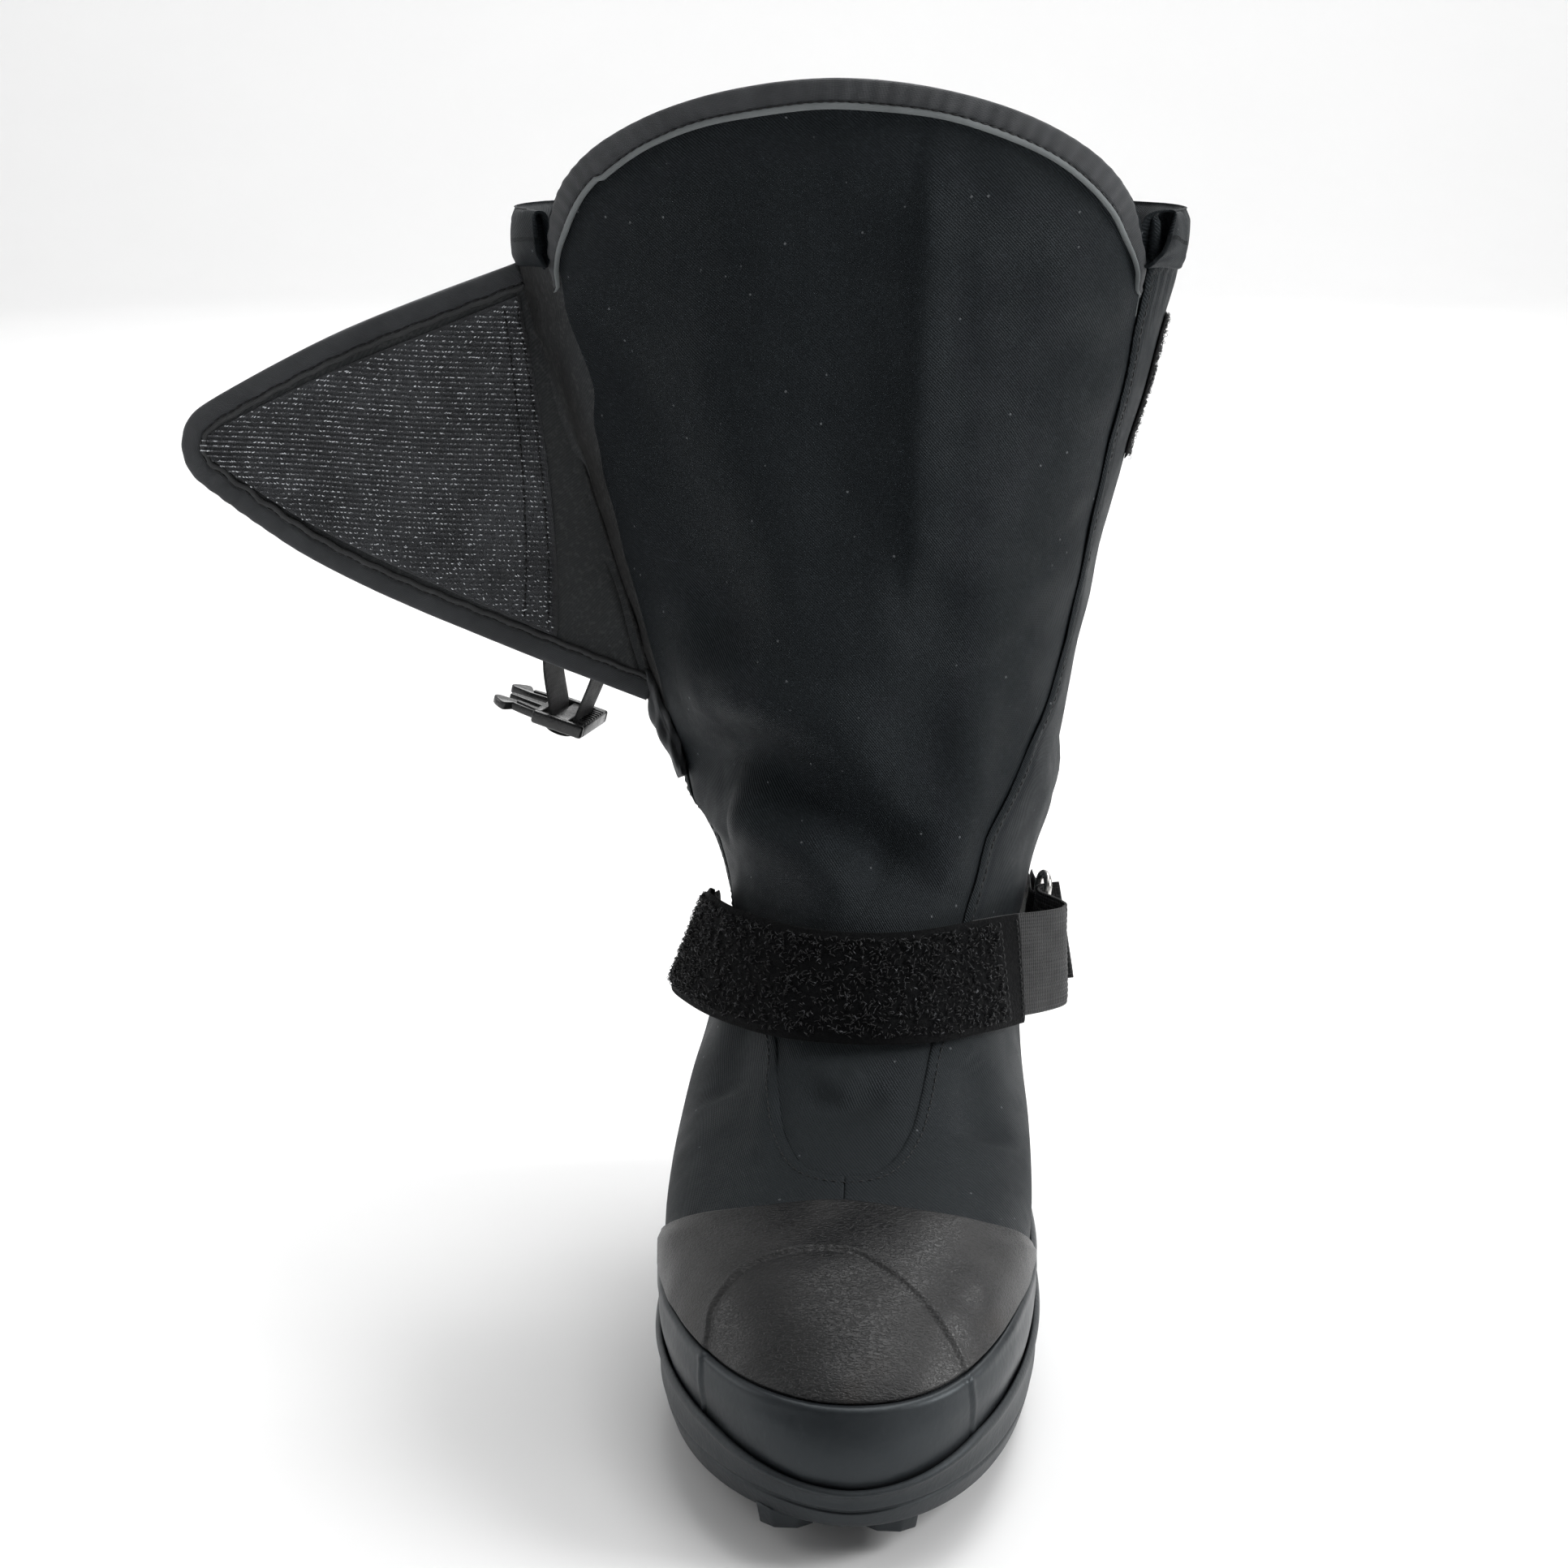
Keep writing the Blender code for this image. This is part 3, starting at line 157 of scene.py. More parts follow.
# Rows of lugs: y, whether one stands at each edge, and x of those between.
TREAD = [
    (-0.2545, False, (-0.0125, 0.0185)),
    (-0.2345, False, (-0.0115, 0.0155)),
    (-0.2115, False, (-0.0225, 0.0015, 0.0255)),
    (-0.1875, False, (-0.0345, -0.0115, 0.0115, 0.0345)),
    (-0.1630, True, (-0.017, 0.017)),
    (-0.1390, True, (-0.016, 0.016)),
    (-0.1150, True, (0.0,)),
    (-0.0290, True, (0.0,)),
    (0.0000, True, (0.0,)),
    (0.0280, True, ()),
]
LUG_LONG, LUG_WIDE, LUG_TAPER, LUG_CORNER, LUG_ROOT = 0.0165, 0.0185, 0.0012, 0.0045, 0.003

PATCH_COLUMNS = (0.40, 0.62)
PATCH_HEIGHTS = (0.300, 0.350)
PATCH_STEPS = 61

# Upper and lower edge of the flap from its tip to its root, as x and z.
FLAP_TOP = [
    (-0.2400, 0.3095), (-0.2295, 0.3185), (-0.1895, 0.3385), (-0.1495, 0.3550), (-0.1180, 0.3675),
]
FLAP_BOTTOM = [
    (-0.2400, 0.2975), (-0.2310, 0.2895), (-0.1920, 0.2640), (-0.1350, 0.2373), (-0.0720, 0.2110),
]
ROOT_HIGH, ROOT_LOW = FLAP_TOP[-1][1], FLAP_BOTTOM[-1][1]
FLAP_ROOT_U = -0.45
FLAP_LOW_ROW = 11
FLAP_TIP_Y = -0.050
FLAP_BOW = 0.004
FLAP_PULL = 4
TAPE_STOP_Q = 0.97
HOOK_FOLD_Q, HOOK_SLANT, HOOK_LIFT = 0.95, 0.10, 1.4

# Routes of the bands: a point of the middle line, and the direction of the band's width there.
STRAP_ROUTE = [
    (-0.0545, -0.0240, 0.1160, 0.00, 0.00, 1.00), (-0.0553, -0.0400, 0.1195, 0.00, 0.00, 1.00),
    (-0.0562, -0.0540, 0.1245, 0.08, 0.00, 0.99), (-0.0578, -0.0670, 0.1300, 0.24, 0.00, 0.97),
    (-0.0588, -0.0775, 0.1340, 0.35, 0.04, 0.93), (-0.0560, -0.0885, 0.1345, 0.34, 0.10, 0.93),
    (-0.0430, -0.1075, 0.1345, 0.20, 0.32, 0.92), (-0.0220, -0.1245, 0.1345, 0.06, 0.45, 0.89),
    (0.0020, -0.1302, 0.1345, 0.00, 0.48, 0.88), (0.0240, -0.1255, 0.1340, -0.05, 0.45, 0.89),
    (0.0430, -0.1110, 0.1330, -0.12, 0.34, 0.93), (0.0575, -0.0945, 0.1310, -0.10, 0.16, 0.98),
]
ELASTIC_ROUTE = [
    (0.0430, -0.1050, 0.1325, -0.12, 0.30, 0.94), (0.0540, -0.0925, 0.1310, -0.10, 0.16, 0.98),
    (0.0645, -0.0825, 0.1295, -0.06, 0.08, 1.00), (0.0720, -0.0735, 0.1285, -0.05, 0.02, 1.00),
    (0.0735, -0.0680, 0.1285, -0.04, 0.00, 1.00), (0.0710, -0.0640, 0.1290, 0.00, 0.00, 1.00),
    (0.0665, -0.0600, 0.1295, 0.06, 0.00, 1.00), (0.0628, -0.0555, 0.1295, 0.12, 0.00, 0.99),
    (0.0618, -0.0512, 0.1295, 0.14, 0.00, 0.99), (0.0640, -0.0482, 0.1295, 0.14, 0.00, 0.99),
    (0.0690, -0.0478, 0.1300, 0.12, 0.00, 0.99), (0.0745, -0.0490, 0.1310, 0.08, 0.00, 1.00),
]
LOOP_ROUTE = [
    (0.0582, -0.0120, 0.1302, 0.16, 0.00, 0.99), (0.0590, -0.0220, 0.1300, 0.16, 0.00, 0.99),
    (0.0595, -0.0320, 0.1299, 0.15, 0.00, 0.99), (0.0595, -0.0395, 0.1298, 0.15, 0.00, 0.99),
    (0.0604, -0.0428, 0.1297, 0.15, 0.00, 0.99), (0.0622, -0.0436, 0.1295, 0.15, 0.00, 0.99),
    (0.0644, -0.0424, 0.1292, 0.15, 0.00, 0.99), (0.0647, -0.0390, 0.1292, 0.15, 0.00, 0.99),
    (0.0625, -0.0310, 0.1295, 0.15, 0.00, 0.99), (0.0608, -0.0220, 0.1298, 0.16, 0.00, 0.99),
    (0.0602, -0.0150, 0.1299, 0.16, 0.00, 0.99),
]
RING_OUTER_BAR = Vector((0.0648, -0.0522, 0.1295))
RING_INNER_BAR = Vector((0.0621, -0.0405, 0.1295))
RING_UP = Vector((0.15, 0.0, 0.99))
RING_HEIGHT = 0.043
RING_CORNER = 0.005

BUCKLE_AT = Vector((-0.1097, -0.0180, 0.2000))
BUCKLE_TURN = (math.radians(2), math.radians(15), math.radians(-14))
BUCKLE_PLACE = Matrix.LocRotScale(BUCKLE_AT, Euler(BUCKLE_TURN), None)
BUCKLE_WIDE, BUCKLE_DEEP, FRAME_LONG = 0.026, 0.005, 0.0205
BAR_LONG, SLOT_LONG = 0.0065, 0.0036
TURN_CLEAR, TURN_DROP, TURN_RISE = 0.0006, 0.0016, 0.003
TAB_HEIGHTS = (0.290, 0.265)
TAB_HANG = ((-0.1120, 0.2420), (-0.1155, 0.2230))
TAB_RETURN = ((-0.0975, 0.2180), (-0.0935, 0.2350))
TAB_U = -0.53

# Soft troughs and ridges of the cloth: height outward, half widths to the two sides of the line,
# and the line's points as (share of the way round, row of the last).
FOLDS = [
    (-0.0045, 0.028, 0.024, ((-0.40, 12.8), (-0.43, 12.2), (-0.45, 11.5), (-0.46, 10.8))),
    (0.0023, 0.010, 0.0035, ((0.096, 19.7), (0.091, 18.5), (0.088, 17.2), (0.089, 16.0), (0.088, 14.6))),
    (-0.0032, 0.020, 0.016, ((0.03, 19.0), (0.02, 17.5), (0.0, 16.0), (-0.02, 14.6))),
    (-0.0072, 0.022, 0.018, ((-0.35, 18.0), (-0.31, 16.9), (-0.25, 15.9), (-0.20, 15.1), (-0.19, 14.3))),
    (0.0043, 0.022, 0.020, ((-0.20, 17.6), (-0.15, 16.4), (-0.11, 15.3), (-0.11, 14.2))),
    (-0.0075, 0.010, 0.013, (
        (-0.46, 13.5), (-0.32, 13.35), (-0.19, 13.45), (-0.09, 13.05),
        (-0.02, 12.5), (0.06, 12.1), (0.14, 11.8),
    )),
    (0.0067, 0.014, 0.012, ((-0.26, 12.75), (-0.17, 12.45), (-0.08, 12.1), (0.01, 11.6))),
    (0.0049, 0.016, 0.014, ((-0.34, 14.3), (-0.20, 14.2), (-0.08, 13.8), (0.05, 13.2))),
    (-0.0035, 0.014, 0.012, ((0.13, 15.6), (0.12, 14.6), (0.11, 13.6), (0.11, 12.6))),
    (0.0029, 0.012, 0.012, ((0.19, 14.4), (0.17, 13.4), (0.15, 12.4), (0.13, 11.6))),
    (-0.0023, 0.004, 0.007, ((-0.060, 9.0), (-0.036, 8.70), (-0.008, 8.60), (0.016, 8.75), (0.022, 9.1))),
    (0.0017, 0.006, 0.006, ((-0.050, 9.3), (-0.02, 9.0), (0.01, 9.2))),
    (0.0017, 0.0035, 0.006, ((-0.128, 9.3), (-0.120, 8.6), (-0.112, 8.0), (-0.092, 7.5))),
    (-0.0023, 0.010, 0.010, ((0.19, 9.2), (0.192, 8.4), (0.20, 7.5))),
    (-0.0032, 0.014, 0.012, ((-0.24, 10.4), (-0.22, 9.4), (-0.20, 8.3))),
    (-0.0041, 0.013, 0.012, ((0.55, 13.0), (0.68, 12.3), (0.82, 12.0), (0.95, 12.2))),
    (0.0043, 0.014, 0.014, ((0.52, 13.9), (0.68, 13.2), (0.84, 12.9), (0.97, 13.0))),
    (-0.0043, 0.013, 0.013, ((-0.56, 13.2), (-0.70, 12.4), (-0.84, 12.2), (-0.97, 12.3))),
    (0.0041, 0.014, 0.014, ((-0.55, 14.1), (-0.70, 13.3), (-0.85, 13.0), (-0.98, 13.1))),
    (-0.0032, 0.012, 0.012, ((0.48, 10.6), (0.62, 10.2), (0.76, 10.6), (0.88, 11.2))),
    (-0.0032, 0.012, 0.012, ((-0.50, 10.8), (-0.64, 10.3), (-0.78, 10.7), (-0.90, 11.3))),
    (0.0035, 0.020, 0.020, ((0.78, 18.6), (0.80, 17.0), (0.80, 15.4), (0.78, 14.2))),
    (-0.0035, 0.018, 0.018, ((-0.76, 18.7), (-0.78, 17.0), (-0.79, 15.4), (-0.78, 14.3))),
    (-0.0029, 0.018, 0.018, ((0.62, 18.6), (0.63, 17.0), (0.62, 15.6))),
]
FOLD_STEPS = 28
FOLD_FADE = 0.22
FOLD_REACH = 3.2


def smooth_rows(table, at):
    """Rows of a table at fractional row numbers, joined by a Catmull-Rom cubic."""
    table = np.asarray(table, float)
    last = len(table) - 1
    at = np.clip(np.asarray(at, float), 0, last)
    low = np.minimum(at.astype(int), last - 1)
    part = (at - low)[:, None]
    before, start, end, after = (table[np.clip(low + k, 0, last)] for k in (-1, 0, 1, 2))
    curve = 2 * before - 5 * start + 4 * end - after
    bend = 3 * (start - end) + after - before
    return start + 0.5 * part * (end - before + part * (curve + part * bend))


def ease(x):
    """Smooth step from 0 to 1."""
    x = np.clip(x, 0, 1)
    return x * x * (3 - 2 * x)


def bell(x, width):
    """A smooth bump of height 1 where x is 0."""
    return np.exp(-((x / width) ** 2))


def unit(v):
    return v / np.maximum(np.linalg.norm(v, axis=-1, keepdims=True), 1e-12)


def circle(count):
    """Angles at even steps round a circle."""
    return np.linspace(0, 2 * math.pi, count, endpoint=False)


def spread(*values):
    """Numbers or arrays brought to one shape."""
    return np.broadcast_arrays(*(np.asarray(value, float) for value in values))


def run_length(points):
    """Distance along a line of points, from its start."""
    return np.concatenate([[0], np.cumsum(np.linalg.norm(np.diff(points, axis=0), axis=-1))])


def lifted(base, normal, height):
    """Points moved along their normals by a height."""
    return base + normal * np.broadcast_to(height, base.shape[:-1])[..., None]


def toe_curve(y):
    return (np.clip(BALL_Y - y, 0, None) / (BALL_Y - TOE_Y)) ** 2


def toe_lift(y):
    return TOE_SPRING * toe_curve(y)


def last_chunk(u, t):
    """Points of the last for flat arrays of shares and rows."""
    rows = smooth_rows(LAST, t)
    front_y, front_z, back_y, back_z, half, widest, heel, f_pow, b_pow, lean = rows.T[:, :, None]
    turn = np.linspace(0, math.pi, RING_STEPS)
    in_front = turn <= math.pi / 2
    power = np.where(in_front, f_pow, b_pow)
    along = np.abs(np.cos(turn)) ** (2 / power)
    y = widest + np.where(in_front, front_y - widest, back_y - widest) * along
    taper = np.where(in_front, 1, 1 - (1 - heel) * ease(along))
    x = half * np.sin(turn) ** (2 / power) * taper
    steps = np.hypot(np.diff(x), np.diff(y))
    length = np.concatenate([np.zeros((len(rows), 1)), np.cumsum(steps, 1)], 1)
    target = np.abs(u)[:, None] * length[:, -1:]
    cell = np.clip((length < target).sum(1) - 1, 0, RING_STEPS - 2)[:, None]
    start = np.take_along_axis(length, cell, 1)
    part = (target - start) / (np.take_along_axis(length, cell + 1, 1) - start)
    x = np.take_along_axis(x, cell, 1) * (1 - part) + np.take_along_axis(x, cell + 1, 1) * part
    y = np.take_along_axis(y, cell, 1) * (1 - part) + np.take_along_axis(y, cell + 1, 1) * part
    z = back_z + (front_z - back_z) * (y - back_y) / (front_y - back_y) + toe_lift(y)
    x = x * np.where(u[:, None] < 0, -1, 1) + lean + TOE_SWING * toe_curve(y)
    return np.concatenate([x, y, z], 1)


def last_points(u, t):
    """The upper's outer surface: u from 0 in front to -1 or 1 behind, t the row of the last."""
    u, t = spread((np.asarray(u, float) + 1) % 2 - 1, t)
    flat_u, flat_t = u.ravel(), t.ravel()
    pieces = []
    for first in range(0, len(flat_u), CHUNK):
        pieces.append(last_chunk(flat_u[first : first + CHUNK], flat_t[first : first + CHUNK]))
    return np.concatenate(pieces).reshape(*u.shape, 3)


def last_normals(u, t):
    """Outward unit normals of the upper's outer surface."""
    u, t = spread(u, t)
    across = last_points(u + STEP_U, t) - last_points(u - STEP_U, t)
    rising = last_points(u, t + STEP_T) - last_points(u, t - STEP_T)
    return unit(np.cross(across, rising))


def last_frame(u, t):
    """Points and normals of the upper's outer surface."""
    return last_points(u, t), last_normals(u, t)


def shell(u, t, offset):
    """Points at an offset outward from the upper's outer surface."""
    return lifted(*last_frame(u, t), offset)


def row_at(u, height, low=LEG_ROW, high=TOP_STATION):
    """The row t at which each column u reaches a height, between two rows."""
    t = np.linspace(low, high, SEARCH_STEPS)
    grid = last_points(np.asarray(u)[:, None], t[None, :])[..., 2]
    height = np.broadcast_to(height, len(grid))
    return np.array([np.interp(z, g, t) for z, g in zip(height, grid)])


def collar_height(u):
    """Height of the bellows' arched top edge."""
    share = np.clip(np.abs(u) / SEAM_EDGE, 0, 1)
    return SEAM_TOP + ARCH_RISE * (1 - share**ARCH_POWER) ** (1 / ARCH_POWER)


def seam_share(t, side):
    """Share of the way round from the front to the seam on the outer (1) or inner (-1) side."""
    return np.interp(t, SEAM[:, 0], SEAM[:, 1 if side > 0 else 2])


def rand_top(u):
    return RAND_TOE_ROW + RAND_SIDE_RISE * ease(np.abs(u) / RAND_RISE_END)


def cap_back(u):
    return CAP_CREST_ROW - CAP_SIDE_DROP * (np.abs(u) / CAP_CORNER) ** CAP_CURVE


def sole_outline(u, t, out):
    flat = last_normals(u, t) * (1, 1, 0)
    return (last_points(u, t) + unit(flat) * out)[:, :2]


def sole_bottom(y):
    front = ease((y - WAIST_FRONT_Y) / WAIST_FRONT_RUN)
    waist = front * ease((WAIST_BACK_Y - y) / WAIST_BACK_RUN)
    return LUG_DEPTH + ARCH_LIFT * waist + toe_lift(y)


def sole_lip(y):
    return np.interp(y, SOLE_LIP[:, 0], SOLE_LIP[:, 1])


def flap_points(q, p):
    """Middle surface of the folded-out flap: q from its tip to its root, p from top to bottom."""
    q, p = spread(q, p)
    flat_q, flat_p = q.ravel(), p.ravel()
    run = flat_q * (len(FLAP_TOP) - 1)
    top, bottom = smooth_rows(FLAP_TOP, run), smooth_rows(FLAP_BOTTOM, run)
    plane = top + (bottom - top) * flat_p[:, None]
    root_z = ROOT_HIGH + (ROOT_LOW - ROOT_HIGH) * flat_p
    root = np.stack([np.interp(root_z, FLAP_SEAT_Z, FLAP_SEAT[:, axis]) for axis in range(3)], 1)
    root_top, root_bottom = np.array(FLAP_TOP[-1]), np.array(FLAP_BOTTOM[-1])
    straight = root_top + flat_p[:, None] * (root_bottom - root_top)
    plane = plane + (root[:, [0, 2]] - straight) * flat_q[:, None] ** FLAP_PULL
    bow = FLAP_BOW * np.sin(math.pi * flat_q) ** 2 * (1 - 0.5 * flat_p)
    y = FLAP_TIP_Y + (root[:, 1] - FLAP_TIP_Y) * flat_q**2 - bow
    return np.column_stack([plane[:, 0], y, plane[:, 1]]).reshape(*q.shape, 3)


FLAP_SEAT_Z = np.linspace(ROOT_LOW, ROOT_HIGH, 41)
FLAP_SEAT_U = np.full(len(FLAP_SEAT_Z), FLAP_ROOT_U)
FLAP_SEAT = shell(
    FLAP_SEAT_U,
    row_at(FLAP_SEAT_U, FLAP_SEAT_Z, FLAP_LOW_ROW),
    2 * GAP + FLAP_THICK / 2,
)


def flap_normals(q, p):
    """Unit normals of the flap, towards the boot's front."""
    q, p = spread(q, p)
    step = 0.01
    along = flap_points(np.clip(q + step, 0, 1), p) - flap_points(np.clip(q - step, 0, 1), p)
    down = flap_points(q, p + step) - flap_points(q, p - step)
    return unit(np.cross(down, along))


def flap_layer(q, p, offset):
    return lifted(flap_points(q, p), flap_normals(q, p), offset)


# Materials


class Finish:
    """A material under construction: adds nodes and links them to the Principled shader."""

    def __init__(self, name, **sockets):
        self.material = bpy.data.materials.new(name)
        self.material.use_nodes = True
        self.tree = self.material.node_tree
        self.shader = self.tree.nodes["Principled BSDF"]
        for socket, value in sockets.items():
            self.shader.inputs[socket.replace("_", " ")].default_value = value
        self.coords = self.tree.nodes.new("ShaderNodeTexCoord")

    def node(self, kind, inputs=(), **settings):
        made = self.tree.nodes.new("ShaderNode" + kind)
        for key, value in settings.items():
            setattr(made, key, value)
        for key, value in dict(inputs).items():
            if isinstance(value, bpy.types.NodeSocket):
                self.tree.links.new(value, made.inputs[key])
            else:
                made.inputs[key].default_value = value
        return made

    def at(self, kind="Object", scale=(1, 1, 1), turn=0.0):
        """Texture coordinates in metres, stretched or turned."""
        inputs = {"Vector": self.coords.outputs[kind], "Scale": scale, "Rotation": (0, 0, turn)}
        return self.node("Mapping", inputs).outputs["Vector"]

    def noise(self, where, scale, detail=3.0, rough=0.55, warp=0.0):
        inputs = {"Vector": where, "Scale": scale, "Detail": detail, "Roughness": rough, "Distortion": warp}
        return self.node("TexNoise", inputs).outputs["Fac"]

    def cells(self, where, scale):
        return self.node("TexVoronoi", {"Vector": where, "Scale": scale}, feature="F1").outputs

    def wave(self, where, scale, direction="X", warp=0.0, detail=1.0, detail_scale=1.0):
        inputs = {"Vector": where, "Scale": scale, "Distortion": warp}
        inputs |= {"Detail": detail, "Detail Scale": detail_scale}
        made = self.node("TexWave", inputs, wave_type="BANDS", bands_direction=direction)
        return made.outputs["Fac"]

    def span(self, value, low, high, to_low=0.0, to_high=1.0):
        """A value moved from one range to another, smoothly and held at the ends."""
        inputs = {"Value": value, "From Min": low, "From Max": high, "To Min": to_low, "To Max": to_high}
        return self.node("MapRange", inputs, interpolation_type="SMOOTHSTEP").outputs["Result"]

    def sum(self, first, second, operation="ADD"):
        return self.node("Math", {0: first, 1: second}, operation=operation).outputs["Value"]

    def times(self, first, second):
        return self.sum(first, second, "MULTIPLY")

    def blend(self, share, first, second):
        """A colour between two, each a colour or a socket."""
        first, second = ((*c, 1) if isinstance(c, tuple) else c for c in (first, second))
        made = self.node("Mix", {0: share, 6: first, 7: second}, data_type="RGBA", clamp_factor=True)
        return made.outputs[2]

    def bump(self, height, deep, under=None):
        """A bump of a real depth in metres, over another if given."""
        inputs = {"Height": height, "Strength": 1.0, "Distance": deep}
        if under is not None:
            inputs["Normal"] = under
        return self.node("Bump", inputs).outputs["Normal"]

    def link(self, value, socket):
        self.tree.links.new(value, self.shader.inputs[socket])
        return self


# Heights where the paler film on the lower cloth begins and is full, and its colour: dust, and painted light
# on the upward-facing foot.
DUST_AND_LIGHT_TOP, DUST_AND_LIGHT_FULL = 0.19, 0.13
DUST_AND_LIGHT_COLOUR = (0.0155, 0.0175, 0.0192)


def nylon_finish(name, dark, light, rough=(0.48, 0.64), weave=0.00016, lint=0.5, dust_and_light=0.0):
    """Coated nylon: fine diagonal twill, faint colour drift, dull patches and lint, and low down a paler
    film: dust, and painted light where the foot's cloth faces up.
    """
    made = Finish(name, Specular_IOR_Level=0.19, Specular_Tint=(0.82, 0.93, 1.0, 1.0))
    uv, place = made.at("UV"), made.at("Object")
    drift = made.noise(place, 14, 3, 0.5)
    colour = made.blend(made.span(drift, 0.35, 0.68), dark, light)
    twill = made.wave(uv, 520, "DIAGONAL", 0.8, 1, 3)
    cross = made.wave(made.at("UV", turn=math.radians(64)), 640, "X", 0.5, 1, 3)
    cloth = made.sum(twill, made.times(cross, 0.5))
    colour = made.blend(made.times(cloth, 0.30), colour, tuple(2.4 * c for c in light))
    grain = made.span(made.noise(place, 620, 2, 0.6), 0.48, 0.72)
    colour = made.blend(made.times(grain, 0.42), colour, tuple(3.2 * c for c in light))
    # Paler film low down: dust, and painted light where the foot's cloth faces up.
    if dust_and_light:
        low = made.span(made.node("SeparateXYZ", {"Vector": place}).outputs["Z"], DUST_AND_LIGHT_TOP, DUST_AND_LIGHT_FULL)
        colour = made.blend(made.times(low, dust_and_light), colour, DUST_AND_LIGHT_COLOUR)
    spots = made.cells(place, 190.0)
    pick = made.node("TexWhiteNoise", {"Vector": spots["Position"]}, noise_dimensions="3D")
    chosen = made.span(pick.outputs["Value"], 0.74, 0.75)
    dust = made.times(made.span(spots["Distance"], 0.11, 0.05), chosen)
    colour = made.blend(made.times(dust, lint), colour, (0.11, 0.116, 0.122))
    made.link(colour, "Base Color")
    wear = made.noise(place, 45, 4, 0.6)
    made.link(made.span(wear, 0.3, 0.7, rough[0], rough[1]), "Roughness")
    soft = made.bump(made.noise(place, 120, 3, 0.55), 0.00035)
    made.link(made.bump(cloth, weave, soft), "Normal")
    return made.material


def rubber_finish(name, dark, light, rough, grain_scale, grain_deep, stretch=(1, 1, 1), coat=0.0):
    """Moulded rubber: soft grain, dull bloom, and paler rubbed patches."""
    tint = (0.86, 0.95, 1.0, 1.0)
    made = Finish(name, Specular_IOR_Level=0.36, Specular_Tint=tint, Coat_Weight=coat, Coat_Roughness=0.35)
    place = made.at("Object", stretch)
    bloom = made.noise(made.at("Object"), 22, 5, 0.6, 0.4)
    colour = made.blend(made.span(bloom, 0.3, 0.72), dark, light)
    scuff = made.noise(made.at("Object", (1, 1, 0.25)), 160, 4, 0.7)
    rubbed = made.span(scuff, 0.60, 0.78)
    colour = made.blend(made.times(rubbed, 0.35), colour, tuple(2.2 * c for c in light))
    made.link(colour, "Base Color")
    dull = made.sum(bloom, made.times(rubbed, 0.25))
    made.link(made.span(dull, 0.3, 0.95, rough[0], rough[1]), "Roughness")
    fine = made.noise(place, grain_scale, 3, 0.6)
    pits = made.cells(place, grain_scale * 0.6)["Distance"]
    skin = made.bump(made.noise(made.at("Object"), 60, 3, 0.5), 0.0004)
    made.link(made.bump(made.sum(fine, pits), grain_deep, skin), "Normal")
    return made.material


# Painted shade on the toe's dome, where it faces the dark front: its middle and how far the shade reaches.
DOME_SHADE_CENTRE, DOME_SHADE_REACH = (-0.003, -0.2350, 0.0620), 0.046


def cap_finish(name):
    """Grained rubber: fine leathery wrinkles across the toe with painted shade in their troughs, brown
    patches of painted sheen, painted shade over the dome, and a dull sheen.
    """
    made = Finish(name, Specular_IOR_Level=0.38)
    plain = made.at("Object")
    # Blotches of tone, partly painted: their dark patches stand in for dark reflections on the dome.
    bloom = made.noise(plain, 20, 4, 0.55, 0.3)
    colour = made.blend(made.span(bloom, 0.35, 0.65), (0.0085, 0.0087, 0.0092), (0.0215, 0.0211, 0.0208))
    # Painted sheen: brown patches standing for the cap's brownish highlight.
    brown_sheen = made.span(made.noise(made.at("Object", (1.0, 0.7, 1.2)), 26, 2, 0.5), 0.56, 0.72)
    colour = made.blend(made.times(brown_sheen, 0.5), colour, (0.030, 0.0235, 0.0185))
    # Painted shade: the colour darkens towards the dome's middle.
    reach = made.node("VectorMath", {0: plain, 1: DOME_SHADE_CENTRE}, operation="DISTANCE").outputs["Value"]
    dome_shade = made.span(reach, DOME_SHADE_REACH, 0.4 * DOME_SHADE_REACH)
    colour = made.blend(made.times(dome_shade, 0.75), colour, (0.0068, 0.0069, 0.0073))
    creased = made.at("Object", (0.45, 1.0, 1.0))
    wrinkle = made.noise(creased, 1500, 3, 0.55, 0.5)
    deep = made.span(wrinkle, 0.38, 0.58)
    fine = made.noise(creased, 3200, 2, 0.5)
    # Painted shade: the colour darkens in the wrinkles' troughs.
    dark = made.times(made.span(wrinkle, 0.48, 0.36), 0.22)
    made.link(made.blend(dark, colour, (0.008, 0.008, 0.0085)), "Base Color")
    made.link(made.span(bloom, 0.3, 0.7, 0.30, 0.44), "Roughness")
    skin = made.bump(made.noise(made.at("Object", (0.5, 1.0, 1.0)), 70, 3, 0.5), 0.0006)
    grain = made.bump(made.sum(deep, made.times(fine, 0.3)), 0.00010, skin)
    made.link(grain, "Normal")
    return made.material


def tape_finish(name, dark, light, along, deep=0.00012, rough=(0.5, 0.66), spec=0.4):
    """Woven tape: fine ribs along or across its length, with a dull sheen."""
    made = Finish(name, Specular_IOR_Level=spec, Sheen_Weight=0.08, Sheen_Roughness=0.4)
    uv, place = made.at("UV"), made.at("Object")
    ribs = made.wave(uv, along, "Y", 0.3, 1, 2)
    across = made.wave(uv, along * 1.3, "X", 0.3, 1, 2)
    cloth = made.sum(ribs, made.times(across, 0.6))
    drift = made.noise(place, 60, 3, 0.6)
    colour = made.blend(made.span(drift, 0.3, 0.7), dark, light)
    made.link(made.blend(made.times(cloth, 0.2), colour, tuple(2 * c for c in light)), "Base Color")
    made.link(made.span(made.noise(place, 140, 3, 0.6), 0.3, 0.7, rough[0], rough[1]), "Roughness")
    made.link(made.bump(cloth, deep, made.bump(made.noise(place, 220, 2, 0.5), 0.0003)), "Normal")
    return made.material


